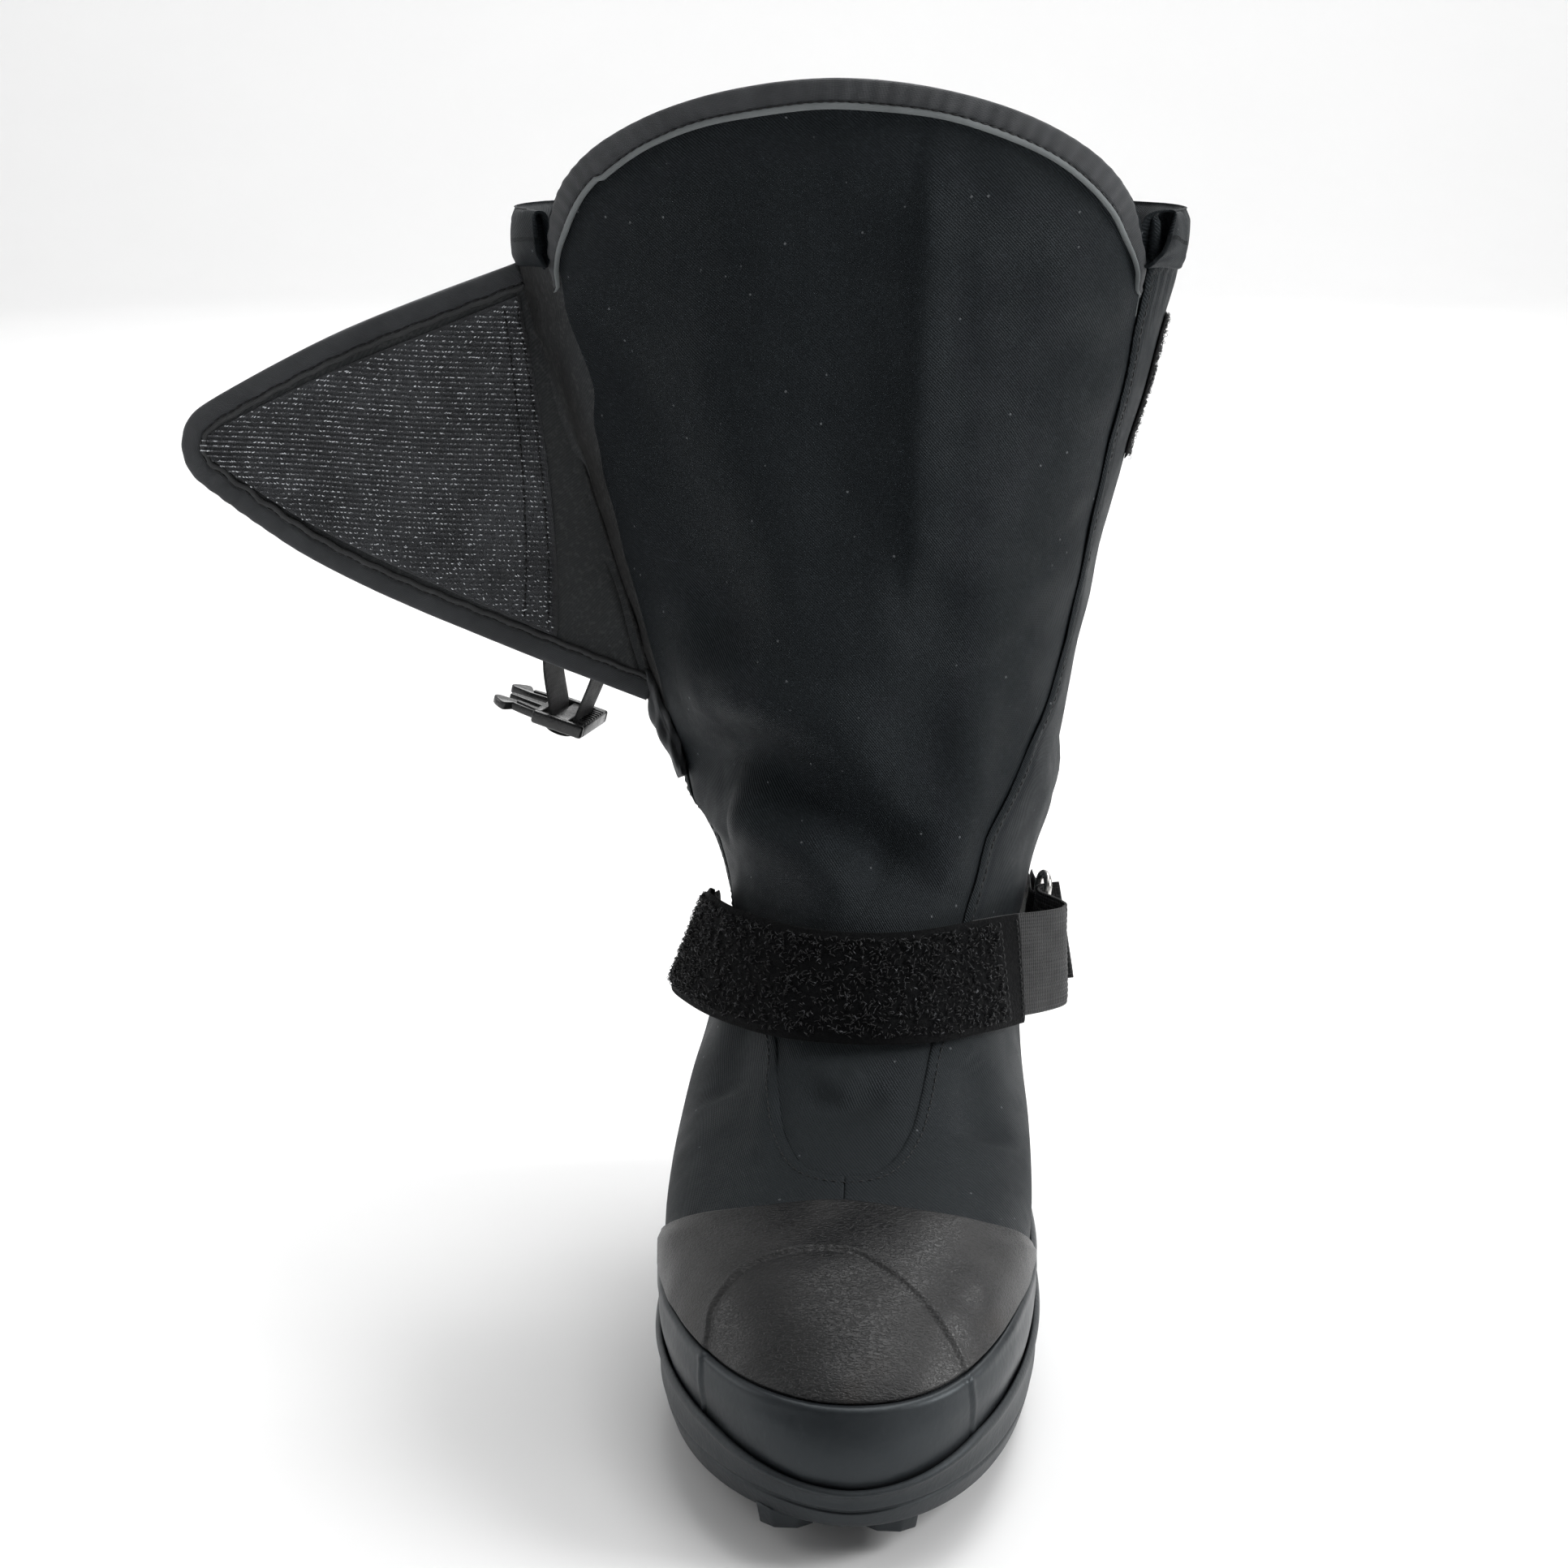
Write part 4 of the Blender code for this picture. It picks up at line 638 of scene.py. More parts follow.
def pile_finish(name, dark, light):
    """Looped pile: deep black, with paler fibre tips."""
    made = Finish(name, Specular_IOR_Level=0.12, Sheen_Weight=0.04, Sheen_Roughness=0.35)
    place = made.at("Object")
    fleck = made.noise(place, 900, 3, 0.7)
    patch = made.noise(made.at("Object", (1, 1, 2.6)), 120, 3, 0.6)
    share = made.times(made.span(fleck, 0.45, 0.75), made.span(patch, 0.35, 0.75))
    made.link(made.blend(share, dark, light), "Base Color")
    made.link(made.span(fleck, 0.3, 0.7, 0.7, 0.95), "Roughness")
    made.link(made.bump(fleck, 0.0005), "Normal")
    return made.material


def plain_finish(name, colour, rough, spec=0.5, metallic=0.0, marks=300, deep=0.00003, spread=0.12, coat=0.0):
    """Moulded plastic, thread or wire: small changes of tone and gloss over fine marks."""
    made = Finish(name, Specular_IOR_Level=spec, Metallic=metallic, Coat_Weight=coat, Coat_Roughness=0.15)
    place = made.at("Object")
    drift = made.noise(place, marks * 0.3, 3, 0.6)
    low, high = (tuple(c * k for c in colour) for k in (0.75, 1.35))
    made.link(made.blend(made.span(drift, 0.3, 0.7), low, high), "Base Color")
    fine = made.noise(place, marks, 4, 0.65)
    made.link(made.span(fine, 0.3, 0.7, rough - spread / 2, rough + spread / 2), "Roughness")
    made.link(made.bump(fine, deep), "Normal")
    return made.material


def glint_fleck_finish(name, dark, light, scale, reach, rough):
    """Fine plastic fibres, some of them paler: painted glints."""
    made = Finish(name, Specular_IOR_Level=0.5)
    place = made.at("Object")
    # Painted glints: pale flecks on the fibres.
    fleck = made.span(made.noise(place, scale, 2, 0.6), reach[0], reach[1])
    made.link(made.blend(fleck, dark, light), "Base Color")
    gloss = made.noise(place, scale * 2, 2, 0.5)
    made.link(made.span(gloss, 0.3, 0.7, rough - 0.1, rough + 0.1), "Roughness")
    made.link(made.bump(made.noise(place, scale * 6, 2, 0.5), 0.00002), "Normal")
    return made.material


NYLON = nylon_finish("nylon_cloth", (0.0017, 0.0024, 0.0032), (0.0042, 0.0051, 0.0060), lint=0.9, dust_and_light=0.85)
LINING = nylon_finish("nylon_lining", (0.007, 0.0077, 0.0086), (0.012, 0.0125, 0.0132), lint=0.1)
FLAP_CLOTH = nylon_finish(
    "flap_cloth", (0.011, 0.0112, 0.0118), (0.020, 0.0198, 0.0196), (0.40, 0.52), 0.00004, 0.2
)
RUBBER = rubber_finish(
    "rand_rubber", (0.0112, 0.0130, 0.0150), (0.021, 0.0232, 0.0254), (0.36, 0.52), 700, 0.00005
)
CAP_RUBBER = cap_finish("cap_grain")
SOLE_RUBBER = rubber_finish(
    "sole_grain", (0.0150, 0.0170, 0.0192), (0.024, 0.0262, 0.0282), (0.46, 0.64), 900, 0.00008
)
TAPE = tape_finish("edge_tape", (0.023, 0.0250, 0.0277), (0.037, 0.0398, 0.0436), 700)
# The tape's paler lip with a painted highlight: its colour is raised for the light its rounded top catches
# from above.
PIPING_WITH_HIGHLIGHT = tape_finish("piping_tape_painted_highlight", (0.105, 0.116, 0.119), (0.140, 0.153, 0.156), 900, 0.00006)
TAPE_LIP = tape_finish("tape_lip", (0.018, 0.0190, 0.0200), (0.030, 0.0315, 0.0330), 900, 0.00006)
WEBBING = tape_finish("black_webbing", (0.006, 0.0065, 0.0072), (0.010, 0.0106, 0.0112), 420, 0.0002)
ELASTIC = tape_finish(
    "ribbed_elastic", (0.013, 0.0133, 0.0138), (0.022, 0.0224, 0.0230), 260, 0.00025, (0.6, 0.75)
)
HOOKS = tape_finish(
    "hook_weave", (0.030, 0.0315, 0.0345), (0.066, 0.0695, 0.0755), 520, 0.0002, (0.42, 0.6), 0.5
)
# Painted glints on the hooks.
HOOK_WIRE = glint_fleck_finish("hook_wire", (0.085, 0.089, 0.096), (0.80, 0.83, 0.87), 420, (0.44, 0.64), 0.30)
PILE = pile_finish("loop_pile", (0.0012, 0.0014, 0.0018), (0.0050, 0.0054, 0.0060))
# Painted glints on the pile's fibres.
FIBRE = glint_fleck_finish("pile_fibre", (0.0020, 0.0023, 0.0028), (0.11, 0.114, 0.122), 620, (0.54, 0.72), 0.40)
THREAD = plain_finish("sewing_thread", (0.007, 0.0075, 0.0082), 0.5, 0.4)
STEEL = plain_finish("plated_wire", (0.62, 0.61, 0.59), 0.24, 0.5, 1.0, 500, 0.00004, 0.16)
PLASTIC = plain_finish("buckle_plastic", (0.0085, 0.0090, 0.0098), 0.30, 0.5, 0.0, 420, 0.00005, 0.14, 0.1)
FOAM = nylon_finish("footbed_cloth", (0.018, 0.018, 0.019), (0.028, 0.028, 0.029), (0.75, 0.9), 0.0002, 0.1)


# Mesh helpers


def link_object(name, data):
    made = bpy.data.objects.new(name, data)
    bpy.context.scene.collection.objects.link(made)
    return made


def add_work(name, work, mesh):
    """A smooth object from a finished bmesh, riding on the boot."""
    work.to_mesh(mesh)
    work.free()
    mesh.shade_smooth()
    made = link_object(name, mesh)
    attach(made, "root")
    return made


def add_mesh(name, points, faces, finishes, uv=None, slots=None):
    """A smooth object from points and faces, riding on the boot."""
    mesh = bpy.data.meshes.new(name)
    mesh.from_pydata(np.asarray(points).tolist(), [], [list(f) for f in faces])
    for finish in finishes if isinstance(finishes, (list, tuple)) else [finishes]:
        mesh.materials.append(finish)
    if slots is not None:
        mesh.polygons.foreach_set("material_index", np.asarray(slots, np.int32))
    if uv is not None:
        corner = np.zeros(len(mesh.loops), np.int32)
        mesh.loops.foreach_get("vertex_index", corner)
        layer = mesh.uv_layers.new(name="cloth")
        layer.data.foreach_set("uv", np.asarray(uv, np.float32)[corner].ravel())
    work = bmesh.new()
    work.from_mesh(mesh)
    bmesh.ops.recalc_face_normals(work, faces=work.faces)
    return add_work(name, work, mesh)


def quads(rows, cols, ring=False, first=0):
    """Faces of a grid of points, with the last column joined to the first in a ring."""
    r, c = np.meshgrid(np.arange(rows - 1), np.arange(cols if ring else cols - 1), indexing="ij")
    ahead = (c + 1) % cols
    corners = [r * cols + c, r * cols + ahead, (r + 1) * cols + ahead, (r + 1) * cols + c]
    return (first + np.stack(corners, -1).reshape(-1, 4)).tolist()


def ring_floors(rows, cols):
    """Faces that close a ring of points across its first and last row."""
    faces = []
    for first in (0, (rows - 1) * cols):
        for k in range(cols // 2):
            ring = dict.fromkeys([k, k + 1, (cols - k - 1) % cols, (cols - k) % cols])
            faces.append([first + c for c in ring])
    return faces


def rim(rows, cols):
    """Point numbers round the edge of a grid, in order."""
    number = np.arange(rows * cols).reshape(rows, cols)
    return np.concatenate([number[0, :-1], number[:-1, -1], number[-1, :0:-1], number[:0:-1, 0]])


def lace(fine, coarse):
    """Faces between two closed loops of points, the first with twice as many."""
    faces = []
    count = len(coarse)
    for k in range(count):
        a, b, c = fine[2 * k], fine[2 * k + 1], fine[(2 * k + 2) % len(fine)]
        d, e = coarse[k], coarse[(k + 1) % count]
        faces += [[a, b, d], [b, e, d], [b, c, e]]
    return faces


def grid_length(points):
    """Distances along a grid's columns and rows, for the weave to follow."""
    across = np.linalg.norm(np.diff(points, axis=1), axis=-1)
    rising = np.linalg.norm(np.diff(points, axis=0), axis=-1)
    u = np.concatenate([np.zeros((len(points), 1)), np.cumsum(across, 1)], 1)
    v = np.concatenate([np.zeros((1, points.shape[1])), np.cumsum(rising, 0)], 0)
    return np.stack([u - u[:, u.shape[1] // 2, None], v], -1)


def add_panel(name, outer, inner, finishes, weave=None):
    """A closed sheet from two grids of odd size; the inner one keeps every other point."""
    rows, cols = outer.shape[:2]
    few = inner[::2, ::2]
    points = np.concatenate([outer.reshape(-1, 3), few.reshape(-1, 3)])
    back = quads(few.shape[0], few.shape[1], first=rows * cols)
    front = quads(rows, cols)
    edge = lace(rim(rows, cols), rows * cols + rim(*few.shape[:2]))
    uv = grid_length(outer) if weave is None else weave
    uv = np.concatenate([uv.reshape(-1, 2), uv[::2, ::2].reshape(-1, 2)])
    slots = [0] * len(front) + [1] * len(back) + [0] * len(edge)
    return add_mesh(name, points, front + back + edge, finishes, uv, slots)


def add_sweep(name, loops, finishes, ring=False, slots=None):
    """A solid through equal closed loops of points, with the weave along its length."""
    count, corners = loops.shape[:2]
    faces = []
    for k in range(count if ring else count - 1):
        ahead = (k + 1) % count
        for c in range(corners):
            beside = (c + 1) % corners
            here, there = k * corners, ahead * corners
            faces.append([here + c, here + beside, there + beside, there + c])
    marks = list(slots) * (count if ring else count - 1) if slots is not None else None
    if not ring:
        faces.append(list(range(corners)))
        faces.append([(count - 1) * corners + c for c in range(corners)])
        if marks is not None:
            marks += [0, 0]
    closed = np.concatenate([loops, loops[:, :1]], 1)
    round_it = np.linalg.norm(np.diff(closed, axis=1), axis=-1)[:, :-1]
    side = np.concatenate([np.zeros((count, 1)), np.cumsum(round_it, 1)], 1)
    along = run_length(loops.mean(1))
    uv = np.stack([np.broadcast_to(along[:, None], side.shape), side], -1)
    return add_mesh(name, loops.reshape(-1, 3), faces, finishes, uv.reshape(-1, 2), marks)


def add_tubes(name, centres, radius, across, sides, finish):
    """Many short tubes in one object: centres is tubes by rings by xyz."""
    tubes, rings = centres.shape[:2]
    ahead = unit(np.gradient(centres, axis=1))
    side = unit(np.cross(ahead, np.broadcast_to(across[:, None, :], centres.shape)))
    other = np.cross(ahead, side)
    angle = circle(sides)
    radius = np.broadcast_to(np.asarray(radius, float), (tubes, rings))[..., None, None]
    ring = side[:, :, None, :] * np.cos(angle)[:, None] + other[:, :, None, :] * np.sin(angle)[:, None]
    points = (centres[:, :, None, :] + radius * ring).reshape(-1, 3)
    one = np.array(quads(rings, sides, ring=True))
    first = np.arange(tubes)[:, None, None] * rings * sides
    faces = (first + one[None]).reshape(-1, 4).tolist()
    for base in range(0, tubes * rings * sides, rings * sides):
        faces.append(list(range(base, base + sides)))
        faces.append(list(range(base + (rings - 1) * sides, base + rings * sides)))
    return add_mesh(name, points, faces, finish)


def resample(points, step, extra=None):
    """Points at even steps along a line, with other values carried along."""
    points = np.asarray(points, float)
    length = run_length(points)
    at = np.linspace(0, length[-1], max(2, int(round(length[-1] / step)) + 1))
    values = points if extra is None else np.concatenate([points, np.asarray(extra, float)], 1)
    return np.stack([np.interp(at, length, values[:, k]) for k in range(values.shape[1])], 1)


STITCH_RINGS, STITCH_SHARE = 6, 0.68
# Pitch and thickness of thread of the rows of stitches.
HEM_STITCH, SEAM_STITCH, TAPE_STITCH = (0.0034, 0.00025), (0.0030, 0.00022), (0.0033, 0.00030)
HOOK_STITCH, STRAP_STITCH = (0.0031, 0.00030), (0.0026, 0.00028)


def add_stitches(name, line, normals, pitch, thread):
    """A row of sewn stitches along a line on a surface; each dips into the cloth at its ends."""
    even = resample(line, pitch, normals)
    start, normal = even[:, :3], unit(even[:, 3:])
    ahead = start[1:] - start[:-1]
    at = np.linspace(0, 1, STITCH_RINGS)
    place = start[:-1, None] + ahead[:, None] * (0.5 + STITCH_SHARE * (at[None, :, None] - 0.5))
    rise = thread * (1.9 * np.sin(math.pi * at) ** 0.7 - 1.0)
    place = place + normal[:-1, None] * rise[None, :, None]
    return add_tubes(name, place, thread, normal[:-1] + 0.01, 6, THREAD)


def fold_relief(points, normals, folds):
    """Height of the cloth's folds at each point of a surface."""
    flat, up = points.reshape(-1, 3), normals.reshape(-1, 3)
    relief = np.zeros(len(flat))
    for height, left, right, knots in folds:
        line = smooth_rows(knots, np.linspace(0, len(knots) - 1, FOLD_STEPS))
        path = last_points(line[:, 0], line[:, 1])
        reach = FOLD_REACH * max(left, right)
        low, high = path.min(0) - reach, path.max(0) + reach
        near = np.flatnonzero(((flat > low) & (flat < high)).all(1))
        if not len(near):
            continue
        spot = flat[near]
        gap = np.linalg.norm(spot[:, None, :] - path[None], axis=-1)
        closest = np.clip(gap.argmin(1), 1, FOLD_STEPS - 2)
        ahead = unit(path[closest + 1] - path[closest - 1])
        off = spot - path[closest]
        lengthwise = (off * ahead).sum(1)
        distance = np.sqrt(np.clip((off**2).sum(1) - lengthwise**2, 0, None))
        side = (off * np.cross(up[near], ahead)).sum(1)
        step = np.linalg.norm(path[closest + 1] - path[closest - 1], axis=1) / 2
        along = (closest + lengthwise / step) / (FOLD_STEPS - 1)
        fade = ease(along / FOLD_FADE) * ease((1 - along) / FOLD_FADE)
        width = np.where(side > 0, left, right)
        relief[near] += height * fade * bell(distance, width)
    return relief.reshape(points.shape[:-1])


RIPPLE_WAVES, RIPPLE_SUM = 5, 3.2


def ripple(points, scale, seed):
    """Smooth random waviness of a surface, between about -1 and 1."""
    draw = np.random.default_rng(seed)
    total = np.zeros(points.shape[:-1])
    for _ in range(RIPPLE_WAVES):
        direction = unit(draw.normal(size=3))
        phase = draw.uniform(0, 2 * math.pi)
        wave = 2 * math.pi / (scale * draw.uniform(0.7, 1.5))
        bend = np.sin((points @ unit(draw.normal(size=3))) * wave * 0.6 + phase)
        total = total + np.sin((points @ direction) * wave + 1.2 * bend + phase)
    return total / RIPPLE_SUM


def edge_spacing(count, width, tight):
    """Shares from 0 to 1 that are close together at both ends."""
    near = np.array([0.0, 0.35, 0.8, 1.4, 2.2, 3.4]) * tight / width
    middle = np.linspace(near[-1], 1 - near[-1], count - 2 * (len(near) - 1))
    return np.concatenate([near[:-1], middle, 1 - near[-2::-1]])


# Upper

SHEET, SHEET_EDGE = 0.0016, 0.0006
ARCH_TAIL = 0.30
SEAM_STITCH_IN = 0.0034
QUARTER_COLUMNS = 241
BELLOWS_COLUMNS, BELLOWS_ROWS = 121, 201
BELLOWS_UNDER, BELLOWS_OVER = 0.012, 0.004
HALF_ROUND = 0.30
VAMP_ROW, BELLOWS_ROW = 0.25, 6.75
PRESS_ROW, PRESS_RUN = 10.2, 1.2
LOOSE_FROM, LOOSE_RUN = 0.085, 0.03
SEAM_RIDGE_AT, SEAM_GROOVE_AT, SEAM_RIDGE_WIDE = 0.0022, 0.0056, 0.0014
RIDGE_HIGH, RIDGE_PRESSED, GROOVE_DEEP = 0.00012, 0.0006, 0.0004
SLIT_DEEP, SLIT_WIDE, SLIT_ROW, SLIT_RUN = 0.0006, 0.0004, 6.6, 0.2
GATHER_PITCH, GATHER_REACH, GATHER_HIGH, GATHER_FROM, GATHER_RUN = 0.011, 0.07, 0.0005, 0.342, 0.024
COVER_ROWS, COVER_RUN, CLOTH_RISE = 0.3, 0.5, 0.0002
EDGE_DROP, EDGE_WIDE, RIM_DROP, RIM_RUN, SHEET_RUN = 0.0004, 0.0005, 0.0012, 0.006, 0.008
SINK_EDGE, SINK_RISE, SINK_FOOT, SINK_RUN = -0.0007, 0.0005, 0.0002, 0.006
BELLOWS_SHEET = 0.0010
STITCH_TOP_ROW = 18.4
WRINKLE = 0.0006
U_BOTTOM = 7.40
SEAM_ROWS = np.concatenate([
    np.linspace(U_BOTTOM, 7.52, 40),
    np.linspace(7.53, 9.0, 70),
    np.linspace(9.03, 19.3, 260),
])


def seam_line():
    """The bellows seam as shares and rows, from the inner collar round the U to the outer collar."""
    inner = np.stack([-seam_share(SEAM_ROWS, -1), SEAM_ROWS], 1)[::-1]
    return np.concatenate([inner, np.stack([seam_share(SEAM_ROWS, 1), SEAM_ROWS], 1)[1:]])


def seam_distance(points):
    """Distance of each point from the bellows seam."""
    line = seam_line()
    path = last_points(line[:, 0], line[:, 1])
    flat = points.reshape(-1, 3)
    distance = np.zeros(len(flat))
    for first in range(0, len(flat), CHUNK):
        spot = flat[first : first + CHUNK]
        gap = (spot**2).sum(1)[:, None] + (path**2).sum(1)[None] - 2 * spot @ path.T
        distance[first : first + CHUNK] = np.sqrt(np.clip(gap.min(1), 0, None))
    return distance.reshape(points.shape[:-1])


WEAVE_ROWS = np.linspace(0, TOP_STATION, SEARCH_STEPS)
WEAVE_LENGTH = run_length(last_points(0.4, WEAVE_ROWS))


def leg_weave(u, t):
    """Cloth coordinates of the leg in metres, shared by its panels."""
    u, t = spread(u, t)
    return np.stack([u * HALF_ROUND, np.interp(t, WEAVE_ROWS, WEAVE_LENGTH)], -1)


def quarter_rows():
    """Heights of the quarters' rows as shares of the way up, closest at the U and at the collar."""
    knots = np.array([0.0, 0.34, 0.366, 0.3765, 0.396, 0.44, 0.90, 0.955, 0.99, 1.0])
    counts = (20, 8, 10, 20, 16, 56, 18, 14, 8)
    parts = [np.linspace(a, b, n, endpoint=False) for a, b, n in zip(knots[:-1], knots[1:], counts)]
    return np.concatenate(parts + [[1.0]])


def hem_fullness(height):
    """How much of the hem's fullness there is at a height, from its lower seam to the collar."""
    share = np.clip((height - (COLLAR_HEIGHT - HEM_HEIGHT)) / HEM_HEIGHT, 0, 1)
    return np.sin(math.pi * share**0.8) ** 0.6 * (share > 0) * (share < 1)


def cloth_relief(base, normal):
    """Folds, then smaller wrinkles, that all the layers of the leg share."""
    relief = fold_relief(base, normal, FOLDS)
    loose = ease((base[..., 2] - LOOSE_FROM) / LOOSE_RUN)
    return relief + loose * WRINKLE * (ripple(base, 0.048, 3) + 0.35 * ripple(base, 0.017, 4))


def build_quarters():
    """Vamp and quarters: one outer layer from seam to seam round the heel, with a hemmed collar."""
    share = edge_spacing(QUARTER_COLUMNS, 0.5, 0.0012)
    climb = quarter_rows()
    u_top = SEAM_EDGE + share * (2 - 2 * SEAM_EDGE)
    top = row_at((u_top + 1) % 2 - 1, COLLAR_HEIGHT)
    t = VAMP_ROW + climb[:, None] * (top[None, :] - VAMP_ROW)
    start, stop = seam_share(t, 1), 2 - seam_share(t, -1)
    round_u = start + share[None, :] * (stop - start)
    u = (round_u + 1) % 2 - 1
    base, normal = last_frame(u, t)
    from_edge = np.minimum(share, 1 - share)[None, :] * 2 * HALF_ROUND
    from_seam = seam_distance(base)
    pressed = ease((t - PRESS_ROW) / PRESS_RUN) * (u > 0)
    tuck = (RIDGE_HIGH + RIDGE_PRESSED * pressed) * bell(from_seam - SEAM_RIDGE_AT, SEAM_RIDGE_WIDE)
    groove = -GROOVE_DEEP * pressed * bell(from_seam - SEAM_GROOVE_AT, SEAM_RIDGE_WIDE)
    slit = SLIT_DEEP * bell(from_edge, SLIT_WIDE) * (t < U_BOTTOM) * ease((t - SLIT_ROW) / SLIT_RUN)
    around = share[None, :] * 2 * HALF_ROUND
    gather = np.sin(around * 2 * math.pi / GATHER_PITCH + 1.6 * np.sin(around * 61))
    high = ease((base[..., 2] - GATHER_FROM) / GATHER_RUN)
    gather = gather * np.exp(-from_edge / GATHER_REACH) * high
    swell = hem_fullness(base[..., 2]) * HEM_BULGE
    cover = ease((rand_top(u) + COVER_ROWS - t) / COVER_RUN)
    relief = cloth_relief(base, normal) + tuck + groove + GATHER_HIGH * gather
    offset = relief * (1 - cover) + swell + CLOTH_RISE
    edge_drop = EDGE_DROP * bell(from_seam, EDGE_WIDE)
    rim_drop = RIM_DROP * ease((climb[:, None] - 0.994) / RIM_RUN)
    outer = lifted(base, normal, offset - edge_drop - slit - rim_drop)
    thick = SHEET_EDGE + (SHEET - SHEET_EDGE) * ease(from_seam / SHEET_RUN)
    inside = offset - thick - 2 * swell + rim_drop
    inner = lifted(base, normal, inside)
    made = add_panel("upper_quarters", outer, inner, [NYLON, LINING], leg_weave(round_u, t))
    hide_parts("upper")
    build_seam_stitches(outer, base)
    row = int(np.argmin(np.abs(base[:, QUARTER_COLUMNS // 2, 2] - (COLLAR_HEIGHT - HEM_HEIGHT + 0.001))))
    add_stitches("hem_stitches", outer[row, 3:-3], normal[row, 3:-3], *HEM_STITCH)


def build_seam_stitches(outer, base):
    """One row of stitches beside the bellows seam, round the U and up both sides."""
    line = seam_line()
    line = line[line[:, 1] < STITCH_TOP_ROW]
    path = last_points(line[:, 0], line[:, 1])
    up = last_normals(line[:, 0], line[:, 1])
    ahead = unit(np.gradient(path, axis=0))
    spots = path + np.cross(ahead, up) * SEAM_STITCH_IN
    flat, skin = base.reshape(-1, 3), outer.reshape(-1, 3)
    rise = np.zeros(len(spots))
    for k, spot in enumerate(spots):
        near = np.argmin(((flat - spot) ** 2).sum(1))
        rise[k] = ((skin[near] - flat[near]) * up[k]).sum()
    add_stitches("seam_stitches", spots + up * rise[:, None], up, *SEAM_STITCH)


def build_bellows():
    """Bellows: the front panel under the seam's edges, arched at the top."""
    share = np.linspace(-1, 1, BELLOWS_COLUMNS)
    climb = np.linspace(0, 1, BELLOWS_ROWS)
    u_top = share * (SEAM_EDGE + BELLOWS_OVER)
    top = row_at(u_top, collar_height(np.clip(u_top, -SEAM_EDGE, SEAM_EDGE)))
    t = BELLOWS_ROW + climb[:, None] * (top[None, :] - BELLOWS_ROW)
    seam = np.where(share > 0, seam_share(t, 1), seam_share(t, -1))
    u = share[None, :] * (seam + BELLOWS_UNDER)
    base, normal = last_frame(u, t)
    inside_seam = (seam - np.abs(u)) * HALF_ROUND
    foot = 1 - ease((t - PRESS_ROW) / PRESS_RUN)
    rise = (SINK_RISE - SINK_FOOT * foot) * ease(inside_seam / SINK_RUN)
    sink = (SINK_EDGE + SINK_FOOT * foot) + rise
    offset = cloth_relief(base, normal) + sink
    outer = lifted(base, normal, offset)
    inner = lifted(base, normal, offset - BELLOWS_SHEET)
    made = add_panel("upper_bellows", outer, inner, [NYLON, LINING], leg_weave(u, t))
    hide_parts("upper")


def binding_frame(u, top):
    """Steps of the share and the row that lead one tape's width in from the arched edge."""
    edge = last_points(u, top)
    inward = unit(np.cross(np.gradient(edge, axis=0), last_normals(u, top)))
    towards = last_points(0.0, 15.0) - edge
    inward = inward * np.sign((inward * towards).sum(1, keepdims=True))
    across = (last_points(u + 0.01, top) - last_points(u - 0.01, top)) / 0.02
    rising = (last_points(u, top) - last_points(u, top - 0.2)) / 0.2
    step_u = BINDING_WIDTH * (inward * across).sum(1) / (across**2).sum(1)
    step_t = BINDING_WIDTH * (inward * rising).sum(1) / (rising**2).sum(1)
    return step_u, step_t


def arch_path(count):
    """Shares and rows along the arched edge, ending a little way down the seam on both sides."""
    u = np.linspace(-SEAM_EDGE, SEAM_EDGE, 401)
    top = row_at(u, collar_height(u))
    down = np.linspace(0.04, ARCH_TAIL, 12)
    left = np.stack([-seam_share(top[0] - down, -1), top[0] - down], 1)[::-1]
    right = np.stack([seam_share(top[-1] - down, 1), top[-1] - down], 1)
    path = np.concatenate([left, np.stack([u, top], 1), right])
    even = resample(last_points(path[:, 0], path[:, 1]), 0.0005, path)
    at = np.linspace(0, len(even) - 1, count)
    return tuple(np.interp(at, np.arange(len(even)), even[:, k]) for k in (3, 4))


# Section of a folded tape: in from the edge as a share of its width, and how far it stands off.
TAPE_FACE = [
    (1.24, -0.20), (1.26, 0.60), (1.25, 1.25), (1.19, 1.85), (1.10, 2.00), (1.02, 1.65),
    (0.97, 0.85), (0.94, 0.45), (0.88, 0.85), (0.78, 1.20), (0.55, 1.40), (0.30, 1.42),
    (0.10, 1.35), (-0.04, 1.05), (-0.12, 0.50),
]
LIP_POINTS = 6
TAPE_STITCH_SHARE = 0.945
ARCH_COUNT, ARCH_LENGTH, ARCH_PUCKER = 361, 0.40, 0.0072
ARCH_END, ARCH_WIDEN, ARCH_END_RUN = 0.14, 0.72, 0.050


def tape_loops(place, half, pucker):
    """Loops of a folded tape round a sheet's edge; place(share, off) gives points of the sheet."""
    profile = [(inward, half + GAP + BINDING_SKIN * stand) for inward, stand in TAPE_FACE]
    profile += [(a, -b) for a, b in profile[: LIP_POINTS - 1 : -1]]
    profile += [(profile[-1][0], -half - GAP), (-GAP / BINDING_WIDTH, -half - GAP)]
    profile += [(-GAP / BINDING_WIDTH, half + GAP), (profile[0][0] - 0.02, half + GAP * 0.2)]
    loops = []
    for inward, off in profile:
        swell = pucker * (abs(off) > half + 2 * GAP) * (inward < 0.9)
        loops.append(place(inward, off + np.sign(off) * swell))
    return np.stack(loops, 1)


LIP_SLOTS = [1] * LIP_POINTS + [0] * (2 * len(TAPE_FACE) - LIP_POINTS + 4 - LIP_POINTS)


